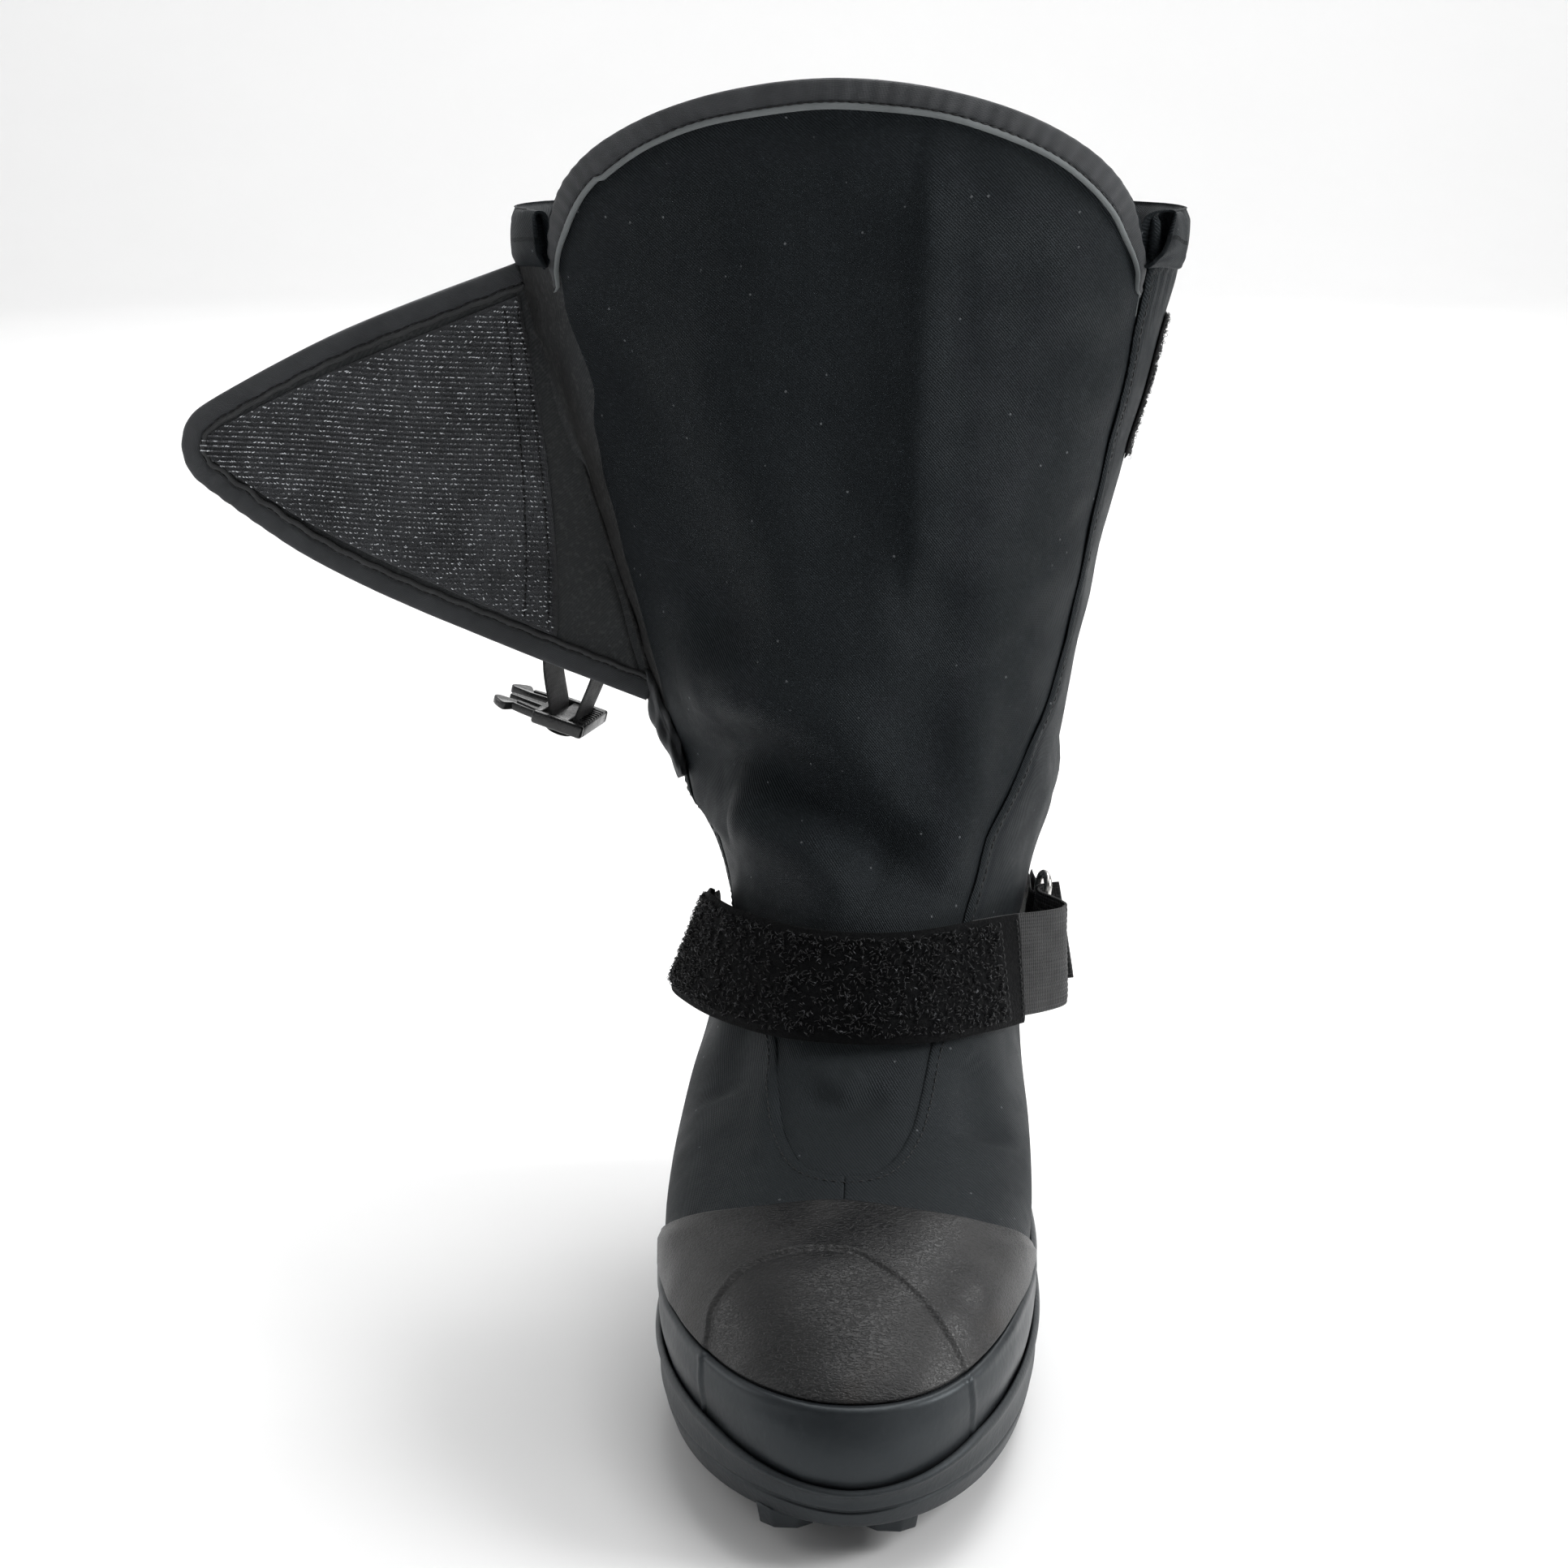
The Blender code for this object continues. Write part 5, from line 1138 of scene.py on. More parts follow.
def build_arch_binding():
    """Folded tape over the arched top edge of the bellows, stitched and slightly puckered."""
    u, top = arch_path(ARCH_COUNT)
    number = np.arange(ARCH_COUNT)
    from_end = np.minimum(number, number[::-1]) / ARCH_COUNT * ARCH_LENGTH
    narrow = ARCH_END + ARCH_WIDEN * ease(from_end / ARCH_END_RUN)
    step_u, step_t = (narrow * step for step in binding_frame(u, top))
    half = UPPER_WALL / 2
    length = np.linspace(0, ARCH_LENGTH, ARCH_COUNT)
    line = np.stack([length, 0 * length, 0 * length], 1)
    bunched = 0.5 + 0.5 * ripple(line, 0.09, 8)
    pucker = 0.00030 * bunched * np.sin(length * 2 * math.pi / ARCH_PUCKER)
    pucker = pucker + 0.00035 * ripple(line, 0.03, 9)
    wander = 0.03 * np.sin(length * 43) + 0.02 * np.sin(length * 117 + 1)
    joint = 0.16 * ease((length - 0.082) / 0.004) * ease((0.115 - length) / 0.03)
    drop = 0.0020 * ease((0.022 - from_end) / 0.016)
    relief = cloth_relief(last_points(u, top - 0.15), last_normals(u, top - 0.15))

    def place(share, off):
        inner = share + (wander + joint) * (share > 0.5)
        return shell(u + inner * step_u, top + inner * step_t, off - half - drop + relief)

    made = add_sweep("arch_binding", tape_loops(place, half, pucker), [TAPE, PIPING_WITH_HIGHLIGHT], slots=LIP_SLOTS)
    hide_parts("bellows_binding")
    line = place(TAPE_STITCH_SHARE, half + GAP + BINDING_SKIN * 0.75)
    normal = last_normals(u + step_u, top + step_t)
    add_stitches("arch_stitches", line[8:-8], normal[8:-8], *TAPE_STITCH)


TUNNEL_TALL, TUNNEL_DEEP = 0.0096, 0.0030


def build_tunnel(name, side, reach, lift, spread_out, slant):
    """Open end of the hem's tunnel beside the arch: a flat soft tube with a slanting mouth."""
    count, corners = 25, 72
    share = np.linspace(0, 1, count)
    angle = circle(corners)
    outside, high = np.cos(angle), np.sin(angle)
    middle = COLLAR_HEIGHT - HEM_HEIGHT * 0.5
    spread_u = np.linspace(SEAM_EDGE - 0.04, SEAM_EDGE + reach + 0.06, 31)
    spread_t = row_at(side * spread_u, middle)
    cut = slant * ease(0.5 + 0.6 * outside) * (0.55 + 0.45 * high)
    runs = [(s, 0.0) for s in share] + [(1.004, 0.0005)] + [(s, 0.0010) for s in share[:11:-1]]
    loops = []
    for run, wall in runs:
        u = side * (SEAM_EDGE - 0.010 + reach * (1 - run) + cut * run**2)
        t = np.interp(np.abs(u), spread_u, spread_t)
        centre = last_points(u, t)
        out = unit(last_normals(u, t) * (1, 1, 0))
        flare = float(ease(run / 0.8))
        tall = TUNNEL_TALL - wall
        deep = TUNNEL_DEEP + (spread_out - TUNNEL_DEEP) * flare - wall
        pleat = flare * (0.10 * np.sin(2 * angle + 0.9) + 0.05 * np.sin(5 * angle + 4 * run))
        gather = 0.14 * np.clip(-high, 0, 1) ** 2 * np.sin(9 * angle + 6 * run)
        rounded = np.sign(high) * np.abs(high) ** 0.8
        point = centre + out * (0.0004 + 0.6 * deep)
        point = point + np.outer(lift * flare * (0.6 + 0.4 * outside), (0, 0, 1))
        point = point + out * (deep * (1 + pleat + gather) * outside)[:, None]
        loops.append(point + np.outer(tall * (1 + 0.3 * pleat) * rounded, (0, 0, 1)))
    made = add_sweep(name, np.stack(loops), NYLON)


# Foot


TOE_SHARE = 0.34


def foot_columns():
    """Columns round the foot, closest together over the toe."""
    right = np.concatenate([np.linspace(0, TOE_SHARE, 150), np.linspace(TOE_SHARE, 1, 61)[1:]])
    return np.concatenate([right, -right[-2:0:-1]])


# Toe arch moulded into the cap and the rand: its line as (share, row), from the inner side to the outer.
TOE_ARCH = [
    (-0.152, 1.60), (-0.146, 2.30), (-0.138, 3.10), (-0.132, 3.70), (-0.128, 4.25), (-0.112, 4.80),
    (-0.088, 5.35), (-0.056, 5.70), (-0.024, 5.86), (0.012, 5.80), (0.044, 5.40), (0.072, 4.80),
    (0.092, 4.15), (0.104, 3.60), (0.112, 3.00), (0.122, 2.20), (0.128, 1.50),
]


TOE_BEAD_AT, TOE_BEAD_WIDE, TOE_GROOVE_WIDE = 0.0012, 0.0011, 0.0007
TOE_DOME_EDGE, TOE_DOME_RUN = 0.0004, 0.0030
# Depth of the toe arch's groove, height of its bead and of the dome inside it.
RAND_ARCH, CAP_ARCH = (0.0004, 0.0005, 0.0003), (0.0005, 0.0004, 0.0006)
ROW_TALL = 0.0115
RAND_BEAD, RAND_BEAD_AT, RAND_BEAD_WIDE = 0.0005, 0.0022, 0.0016
RAND_FALL, RAND_FALL_WIDE = 0.0009, 0.0007
CAP_EDGE, CAP_EDGE_RUN, CAP_FALL = 0.0008, 0.25, 0.0006


def toe_arch_distance(points):
    """Distance to the moulded toe arch, below zero inside it."""
    line = smooth_rows(TOE_ARCH, np.linspace(0, len(TOE_ARCH) - 1, 160))
    path = last_points(line[:, 0], line[:, 1])
    flat = points.reshape(-1, 3)
    normal = last_normals(line[:, 0], line[:, 1])
    ahead = unit(np.gradient(path, axis=0))
    distance = np.zeros(len(flat))
    for first in range(0, len(flat), CHUNK):
        spot = flat[first : first + CHUNK]
        gap = np.linalg.norm(spot[:, None, :] - path[None], axis=-1)
        near = gap.argmin(1)
        off = spot - path[near]
        side = (off * np.cross(normal[near], ahead[near])).sum(1)
        distance[first : first + CHUNK] = np.sign(side) * gap.min(1)
    return distance.reshape(points.shape[:-1])


def toe_arch_relief(points, groove, ridge, raise_inside):
    """The toe arch's moulded line: a bead beside a fine groove, and a fuller dome inside it."""
    distance = toe_arch_distance(points)
    line = ridge * bell(distance - TOE_BEAD_AT, TOE_BEAD_WIDE) - groove * bell(distance, TOE_GROOVE_WIDE)
    return line + raise_inside * ease((distance + TOE_DOME_EDGE) / TOE_DOME_RUN)


def build_rand():
    """Rubber band round the foot: rounded top edge, with the toe arch's ridges running down it."""
    u = foot_columns()
    lip = row_at(u, sole_lip(last_points(u, 1)[:, 1]), 0, LIP_ROW)
    edge = rand_top(u)
    low = np.full(len(u), TUCK_STATION)
    rows = np.stack([low] + [lip - 0.25 + (edge - lip + 0.25) * r for r in np.linspace(0, 1, 30)])
    base, normal = last_frame(u[None, :], rows)
    relief = toe_arch_relief(base, *RAND_ARCH) * ease((0.30 - np.abs(u)) / 0.05)
    relief = relief + 0.00025 * ripple(base, 0.03, 11)
    near_top = (edge[None, :] - rows) * ROW_TALL
    bead = RAND_BEAD * bell(near_top - RAND_BEAD_AT, RAND_BEAD_WIDE)
    fall = RAND_FALL * bell(near_top, RAND_FALL_WIDE)
    outer = lifted(base, normal, GAP + RAND_THICK + relief + bead - fall)
    inner = lifted(base, normal, GAP)
    loops = np.concatenate([outer, inner[::-1]])
    rows_count, cols = loops.shape[:2]
    first = np.arange(cols)
    last = first + (rows_count - 1) * cols
    closing = np.stack([last, np.roll(last, -1), np.roll(first, -1), first], 1).tolist()
    faces = quads(rows_count, cols, ring=True) + closing
    made = add_mesh("rand_band", loops.reshape(-1, 3), faces, RUBBER)
    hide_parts("rand")


def build_toe_cap():
    """Grained rubber cap over the toes, thin at its rear edge, with the moulded toe arch."""
    cols, lines = 261, 113
    u = np.linspace(-CAP_END - 0.006, CAP_END + 0.006, cols)
    rise = np.concatenate([[0, 0.003, 0.007], np.linspace(0.012, 0.985, lines - 6), [0.991, 0.996, 1.0]])
    low, high = rand_top(u) + CAP_FIRST_STEP, cap_back(u)
    rows = low[None, :] + (high - low)[None, :] * rise[:, None]
    base, normal = last_frame(u[None, :], rows)
    relief = toe_arch_relief(base, *CAP_ARCH) + 0.0003 * ripple(base, 0.03, 13)
    thick = CAP_EDGE + (CAP_THICK - CAP_EDGE) * ease((1 - rise[:, None]) / CAP_EDGE_RUN)
    edge = np.minimum(rise, 1 - rise)[:, None] * 0.10
    fall = CAP_FALL * bell(edge, CAP_FALL)
    outer = lifted(base, normal, GAP + thick + relief - fall)
    inner = lifted(base, normal, GAP)
    made = add_panel("toe_cap_grained", outer, inner, [CAP_RUBBER, CAP_RUBBER])
    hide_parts("toe_cap")


def build_outsole():
    """Cup sole: stepped wall with a beaded lip, a floor, a raised arch and toe spring."""
    u = foot_columns()
    cols = len(u)
    at = np.linspace(0, len(SOLE_WALL) - 1, 3 * (len(SOLE_WALL) - 1) + 1)
    steps = smooth_rows(SOLE_WALL, at)
    steps[:, 1] = np.clip(steps[:, 1], 0, 1.006)
    lip = row_at(u, sole_lip(last_points(u, 1)[:, 1]), 0, LIP_ROW)
    rows = []
    for out, up in steps:
        plan = sole_outline(u, lip * up, out)
        low, high = sole_bottom(plan[:, 1]), sole_lip(plan[:, 1])
        rows.append(np.column_stack([plan, low + (high - low) * up]))
    clear = 3 * GAP + RAND_THICK
    floor = shell(u, 0, clear)
    floor[:, 2] = last_points(u, 0)[:, 2] - GAP
    rows = np.stack(rows + [shell(u, lip - 0.03, clear), shell(u, TUCK_STATION, clear), floor])
    faces = quads(len(rows), cols, ring=True) + ring_floors(len(rows), cols)
    made = add_mesh("cup_sole", rows.reshape(-1, 3), faces, SOLE_RUBBER)
    made.data.set_sharp_from_angle(angle=math.radians(50))
    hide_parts("outsole")


def build_lugs():
    """Tread lugs with cut corners and rounded edges, rooted in the sole."""
    edge = sole_outline(np.linspace(0, 1, 200), 0, 0.0025)
    work = bmesh.new()
    for y, at_edges, inner in TREAD:
        places = list(inner)
        if at_edges:
            reach = float(np.interp(y, edge[:, 1], edge[:, 0])) - LUG_WIDE / 2 - LUG_TAPER
            places += [-reach, reach]
        for x in places:
            root = float(sole_bottom(y)) + LUG_ROOT
            loops = []
            for taper, foot in ((LUG_TAPER, True), (0.0, False)):
                a, b = LUG_WIDE / 2 - taper, LUG_LONG / 2 - taper
                short, narrow = b - LUG_CORNER, a - LUG_CORNER
                quarter = [(a, short), (narrow, b), (-narrow, b), (-a, short)]
                ring = []
                for dx, dy in quarter + [(-dx, -dy) for dx, dy in quarter]:
                    height = float(toe_lift(y + dy)) if foot else root
                    ring.append(work.verts.new((x + dx, y + dy, height)))
                loops.append(ring)
            low, high = loops
            work.faces.new(low)
            work.faces.new(high[::-1])
            for k in range(len(low)):
                j = (k + 1) % len(low)
                work.faces.new([low[k], high[k], high[j], low[j]])
    bmesh.ops.recalc_face_normals(work, faces=work.faces)
    bmesh.ops.bevel(work, geom=work.edges[:], offset=0.0008, segments=3, affect="EDGES", profile=0.6)
    mesh = bpy.data.meshes.new("sole_lugs")
    mesh.materials.append(SOLE_RUBBER)
    made = add_work("sole_lugs", work, mesh)


# Edge of the footbed: in from the wall, and up as a share of its thickness.
FOOTBED_EDGE = [(0.0012, 0.0), (0.0002, 0.2), (0.0, 0.5), (0.0004, 0.8), (0.0016, 1.0), (0.006, 1.02)]


def build_footbed():
    """Footbed: a soft rounded slab on the sole's floor."""
    u = foot_columns()
    cols = len(u)
    floor = last_points(u, 0)[:, 2] + GAP
    rows = []
    for inset, up in FOOTBED_EDGE:
        plan = shell(u, 0.02, -(UPPER_WALL + 2 * GAP + inset))
        rows.append(np.column_stack([plan[:, :2], floor + INSOLE_THICK * up]))
    rows = np.stack(rows)
    faces = quads(len(rows), cols, ring=True) + ring_floors(len(rows), cols)
    uv = rows.reshape(-1, 3)[:, :2]
    made = add_mesh("footbed", rows.reshape(-1, 3), faces, FOAM, uv)
    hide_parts("insole")


# Flap

TIP_ROUND, EDGE_FULL = 0.22, 0.045
FLAP_TAPE_WIDTH, FLAP_PUCKER = 0.0066, 0.0062


def tip_share(q):
    """Share of the flap's height used at its rounded tip and along its full edges."""
    rounded = np.sqrt(np.clip(1 - (1 - np.clip(q / TIP_ROUND, 0.004, 1)) ** 2, 0, 1))
    return rounded * (1 + EDGE_FULL * np.sin(math.pi * np.clip(q, 0, 1)))


def flap_find(x, z, q, p):
    """Flap coordinates of places given by x and z, from a first guess."""
    step = 0.004
    for _ in range(8):
        here = flap_points(q, p)
        by_q = (flap_points(q + step, p) - flap_points(q - step, p)) / (2 * step)
        by_p = (flap_points(q, p + step) - flap_points(q, p - step)) / (2 * step)
        a, b, c, d = by_q[:, 0], by_p[:, 0], by_q[:, 2], by_p[:, 2]
        gap_x, gap_z = x - here[:, 0], z - here[:, 2]
        size = a * d - b * c
        size = np.where(np.abs(size) < 1e-6, 1e-6, size)
        q = np.clip(q + np.clip((d * gap_x - b * gap_z) / size, -0.1, 0.1), 0.006, 0.994)
        p = np.clip(p + np.clip((a * gap_z - c * gap_x) / size, -0.1, 0.1), -0.06, 1.06)
    return q, p


def build_flap():
    """Closing flap folded outward: smooth inner cloth in front, with soft waves that die out at the fold."""
    q = np.linspace(0, 1, 121)[:, None] ** 1.5
    p = 0.5 + (np.linspace(0, 1, 91)[None, :] - 0.5) * tip_share(q)
    base, normal = flap_points(q, p), flap_normals(q, p)
    wave = 0.0008 * ripple(base, 0.05, 21) * (1 - ease((q - 0.9) / 0.1))
    front = lifted(base, normal, FLAP_THICK / 2 + wave)
    back = lifted(base, normal, wave - FLAP_THICK / 2)
    made = add_panel("flap_cloth_sheet", front, back, [FLAP_CLOTH, NYLON])
    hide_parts("closure_flap")


# Run of the flap's lining into the leg: its lines on the flap, then past the seam as a share of the way
# round and a height over the cloth.
ROOT_STARTS = (0.80, 0.87, 0.93, 0.97)
ROOT_LINES = [
    (0.040, 0.0026), (0.026, 0.0018), (0.012, 0.0012), (-0.002, 0.0006), (-0.016, 0.0),
    (-0.030, -0.0010),
]


def build_flap_root():
    """Lining that turns from the flap's fold into the leg, over the seam on the inner side."""
    count = 141
    drop = np.linspace(0, 1, count)
    height = ROOT_HIGH + 0.004 + (ROOT_LOW - ROOT_HIGH - 0.006) * drop
    p = np.clip(drop, 0.002, 0.998)
    lines = [flap_layer(q, p, FLAP_THICK / 2 + 0.0001) for q in ROOT_STARTS]
    guess = row_at(np.full(count, -0.42), height, FLAP_LOW_ROW)
    for past_seam, stand in ROOT_LINES:
        u = -(seam_share(guess, -1) + past_seam)
        t = row_at(u, height, FLAP_LOW_ROW)
        base, normal = last_frame(u, t)
        lines.append(lifted(base, normal, cloth_relief(base, normal) + stand))
    lines = np.stack(lines)
    at = np.linspace(0, len(lines) - 1, 41)
    front = smooth_rows(lines.reshape(len(lines), -1), at).reshape(41, count, 3)
    across, down = np.gradient(front, axis=0), np.gradient(front, axis=1)
    normal = unit(np.cross(down, across))
    normal = normal * np.where(normal[..., 1:2] > 0, -1, 1)
    front = lifted(front, normal, 0.0004 * ripple(front, 0.03, 27))
    made = add_panel("flap_fold", front, lifted(front, normal, -0.0008), [FLAP_CLOTH, NYLON])
    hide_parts("closure_flap")


def build_flap_tuck():
    """Gathered end of the flap's lower tape, tucked into the leg's inner side."""
    rings, corners = 41, 44
    share = np.linspace(0, 1, rings)
    u = -0.462 + 0.034 * share
    height = 0.2225 - 0.037 * share
    t = row_at(u, height, FLAP_LOW_ROW - 2)
    base, normal = last_frame(u, t)
    ahead = unit(np.gradient(base, axis=0))
    side = np.cross(normal, ahead)
    angle = circle(corners)
    wide = 0.0030 + 0.0040 * np.sin(math.pi * np.clip(share * 0.9 + 0.06, 0, 1)) ** 0.7
    deep = 0.0012 + 0.0020 * np.sin(math.pi * np.clip(share * 0.85 + 0.12, 0, 1))
    crumple = 1 + 0.22 * np.sin(3 * angle + 7 * share[:, None])
    crumple = crumple + 0.12 * np.sin(5 * angle - 17 * share[:, None])
    centre = lifted(base, normal, cloth_relief(base, normal) + 0.0022)
    loops = centre[:, None] + side[:, None] * (wide[:, None] * crumple * np.cos(angle))[..., None]
    loops = loops + normal[:, None] * (deep[:, None] * crumple * np.sin(angle))[..., None]
    made = add_sweep("flap_tuck", loops, TAPE)
    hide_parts("closure_flap")


def build_flap_binding():
    """Folded tape round the flap's free edges, with one row of stitches and a soft lip."""
    run = np.concatenate([np.linspace(TAPE_STOP_Q, 0.06, 150), 0.06 * np.linspace(1, 0.02, 40)[1:] ** 2])
    q = np.concatenate([run, run[::-1]])
    p = 0.5 + 0.5 * tip_share(q) * np.repeat((-1, 1), len(run))
    edge = flap_points(q, p)
    even = resample(edge, 0.0011, np.column_stack([q, p]))
    edge, q, p = even[:, :3], even[:, 3], even[:, 4]
    normal = flap_normals(q, p)
    inward = unit(np.cross(normal, np.gradient(edge, axis=0)))
    middle = flap_points(0.5, 0.5)
    inward = inward * np.sign(((middle - edge) * inward).sum(1).mean())
    half = FLAP_THICK / 2
    length = run_length(edge)
    line = np.stack([length, 0 * length, 0 * length], 1)
    tip = bell(length - length[-1] / 2, 0.018)
    pucker = (0.00005 + 0.00040 * tip) * np.sin(length * 2 * math.pi / FLAP_PUCKER)
    pucker = pucker + 0.00025 * ripple(line, 0.03, 23)
    wander = (0.03 + 0.06 * tip) * np.sin(length * 2 * math.pi / 0.011) + 0.03 * np.sin(length * 51)

    def place(share, off):
        share = share + wander * (share > 0.5)
        spot = edge + inward * (FLAP_TAPE_WIDTH * share)[:, None]
        if share.mean() <= 0.05:
            return lifted(spot, normal, off)
        return flap_layer(*flap_find(spot[:, 0], spot[:, 2], q, p), off)

    made = add_sweep("flap_edge_tape", tape_loops(place, half, pucker), [TAPE, TAPE_LIP], slots=LIP_SLOTS)
    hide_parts("flap_binding")
    line = place(TAPE_STITCH_SHARE, half + GAP + BINDING_SKIN * 0.8)
    add_stitches("flap_stitches", line, normal, *TAPE_STITCH)


HOOK_ROW_PITCH = 0.00178
HOOK_START_Q = 0.205
HOOK_INSET = 0.0099
HOOK_COLUMNS, HOOK_THIN = 92, 0.00020
# A hook's bend: along its row and up from the tape.
HOOK_SHAPE = [
    (-0.00025, 0.0), (-0.00030, 0.00055), (0.0, 0.00100), (0.00042, 0.00085), (0.00052, 0.00045),
]


def hook_place(share, drop):
    """Flap coordinates of the hook patch from its own: share towards the fold, drop downward."""
    q = HOOK_START_Q + (HOOK_FOLD_Q - HOOK_SLANT * drop - HOOK_START_Q) * share
    tall = np.linalg.norm(flap_points(q, 0.0) - flap_points(q, 1.0), axis=-1)
    margin = np.minimum(HOOK_INSET / tall, 0.45)
    rounded = np.sqrt(1 - (1 - np.clip(share / 0.10, 0.01, 1)) ** 2)
    return q, 0.5 + (1 - 2 * margin) * rounded * (drop - 0.5)


def hook_level(points):
    """Number of the hook row at each place: nearly level lines that bow a little."""
    sway = 0.0004 * np.sin(points[..., 0] * 70) + 0.10 * (points[..., 0] + 0.16) ** 2
    return (points[..., 2] + 0.06 * points[..., 0] + sway) / HOOK_ROW_PITCH


def build_hook_patch():
    """Hook tape: woven ribs in close rows, with small bent hooks standing on them."""
    share = np.linspace(0, 1, 89)[:, None]
    drop = np.linspace(0, 1, 321)[None, :]
    q, p = hook_place(share, drop)
    base, normal = flap_points(q, p), flap_normals(q, p)
    low = FLAP_THICK / 2 + HOOK_LIFT * GAP
    ribs = np.abs(np.sin(math.pi * hook_level(base)))
    edge = np.minimum(np.minimum(drop, 1 - drop) * 0.09, np.minimum(share, 1 - share) * 0.11)
    top = low + 0.0003 + (0.0006 * ribs + 0.0002 * ripple(base, 0.02, 31)) * ease(edge / 0.0012)
    front = lifted(base, normal, top)
    back = lifted(base, normal, low)
    made = add_panel("hook_tape", front, back, [HOOKS, HOOKS])
    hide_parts("hook_patch")
    columns = np.linspace(0.02, 0.985, HOOK_COLUMNS)
    grid_q, grid_p = hook_place(columns[:, None], np.linspace(0.01, 0.99, 700)[None, :])
    level = hook_level(flap_points(grid_q, grid_p))
    found_q, found_p = [], []
    for k in range(HOOK_COLUMNS):
        rising = level[k, ::-1]
        wanted = np.arange(math.ceil(rising[0] - 0.5), math.floor(rising[-1] - 0.5) + 1) + 0.5
        found_p.append(np.interp(wanted, rising, grid_p[k, ::-1]))
        found_q.append(np.interp(wanted, rising, grid_q[k, ::-1]))
    q, p = np.concatenate(found_q), np.concatenate(found_p)
    count = len(q)
    q = np.clip(q + RANDOM.normal(0, 0.0016, count), 0, 1)
    root = flap_layer(q, p, low + 0.0005)
    up = flap_normals(q, p)
    along = unit(flap_points(np.clip(q + 0.01, 0, 1), p) - flap_points(np.clip(q - 0.01, 0, 1), p))
    lean = unit(along * RANDOM.choice((-1, 1), (count, 1)) + 0.30 * RANDOM.normal(0, 1, (count, 3)))
    size = RANDOM.uniform(0.75, 1.2, count)[:, None]
    centres = np.stack([root + size * (lean * a + up * b) for a, b in HOOK_SHAPE], 1)
    add_tubes("hook_hooks", centres, HOOK_THIN, unit(np.cross(lean, up)), 3, HOOK_WIRE)
    for name, share_at in (("hook_seam_fold", 0.982), ("hook_seam_inner", 0.935)):
        q, p = hook_place(share_at, np.linspace(0.02, 0.98, 60))
        line = flap_layer(q, p, low + 0.0011)
        add_stitches(name, line, flap_normals(q, p), *HOOK_STITCH)


# Straps


def route_rows(route, count):
    return smooth_rows(route, np.linspace(0, len(route) - 1, count))


def band_axes(rows):
    """Middle line of a band with the directions of its width and of its outer face."""
    centres = rows[:, :3]
    ahead = unit(np.gradient(centres, axis=0))
    ups = unit(rows[:, 3:] - ahead * (rows[:, 3:] * ahead).sum(1, keepdims=True))
    return centres, ups, np.cross(ahead, ups)


BAND_ROUND, BAND_EDGE = 6, 2.2


def add_ribbon(name, rows, width, thick, finish, front=None, back=None, across=41):
    """A flat woven band with rounded edges; front and back give the relief of its two faces."""
    centres, ups, flat = band_axes(rows)
    w = np.sin(np.linspace(-1, 1, across) * math.pi / 2) * 0.35 + np.linspace(-1, 1, across) * 0.65
    full = (1 - np.abs(w) ** BAND_ROUND) ** (1 / BAND_EDGE)
    full[0] = full[-1] = 0.18
    length = run_length(centres)
    grid_s, grid_w = np.meshgrid(length, w * width / 2, indexing="ij")
    raised = thick / 2 * full[None, :] + (front(grid_s, grid_w) if front else 0.0)
    sunk = -thick / 2 * full[None, :] - (back(grid_s, grid_w) if back else 0.0)
    place = centres[:, None] + ups[:, None] * (w * width / 2)[None, :, None]
    face = place + flat[:, None] * raised[..., None]
    rear = place + flat[:, None] * sunk[..., None]
    return add_sweep(name, np.concatenate([face, rear[:, ::-1]], 1), finish), face, flat, length


# A fibre's loop: along its lean, up, and sideways.
LOOP_SHAPE = [(-0.5, -0.2, 0.0), (-0.55, 0.6, 0.2), (0.0, 1.0, 0.6), (0.55, 0.7, 1.0), (0.5, 0.0, 1.2)]
# Height, spread and thickness of the loops, and how many.
STRAP_LOOPS, STRAP_LOOP_COUNT = (0.0012, 0.0012, 0.00013), 4000
PATCH_LOOPS, PATCH_LOOP_COUNT = (0.0008, 0.0010, 0.00010), 1700


def loop_fibres(name, roots, normals, height, spread, thin, finish):
    """Curly pile: small loops of fibre standing on a surface, leaning every way."""
    count = len(roots)
    draw = RANDOM.normal(0, 1, (count, 3))
    lean = unit(draw - normals * (draw * normals).sum(1, keepdims=True))
    tall = height * RANDOM.uniform(0.55, 1.25, count)[:, None]
    wide = spread * RANDOM.uniform(0.6, 1.4, count)[:, None]
    drift = unit(np.cross(lean, normals)) * RANDOM.normal(0, 0.4, (count, 1)) * wide
    loops = [roots + lean * wide * a + normals * tall * b + drift * c for a, b, c in LOOP_SHAPE]
    return add_tubes(name, np.stack(loops, 1), thin, unit(np.cross(lean, normals)), 3, finish)


def scatter_on(face, normals, count, margin):
    """Random places on a grid of points, with the normals there."""
    rows, cols = face.shape[:2]
    r = RANDOM.uniform(margin, 1 - margin, count) * (rows - 1.001)
    c = RANDOM.uniform(0.03, 0.97, count) * (cols - 1.001)
    i, j = r.astype(int), c.astype(int)
    a, b = (r - i)[:, None], (c - j)[:, None]
    near = face[i, j] * (1 - a) + face[i + 1, j] * a
    far = face[i, j + 1] * (1 - a) + face[i + 1, j + 1] * a
    return near * (1 - b) + far * b, normals[i]


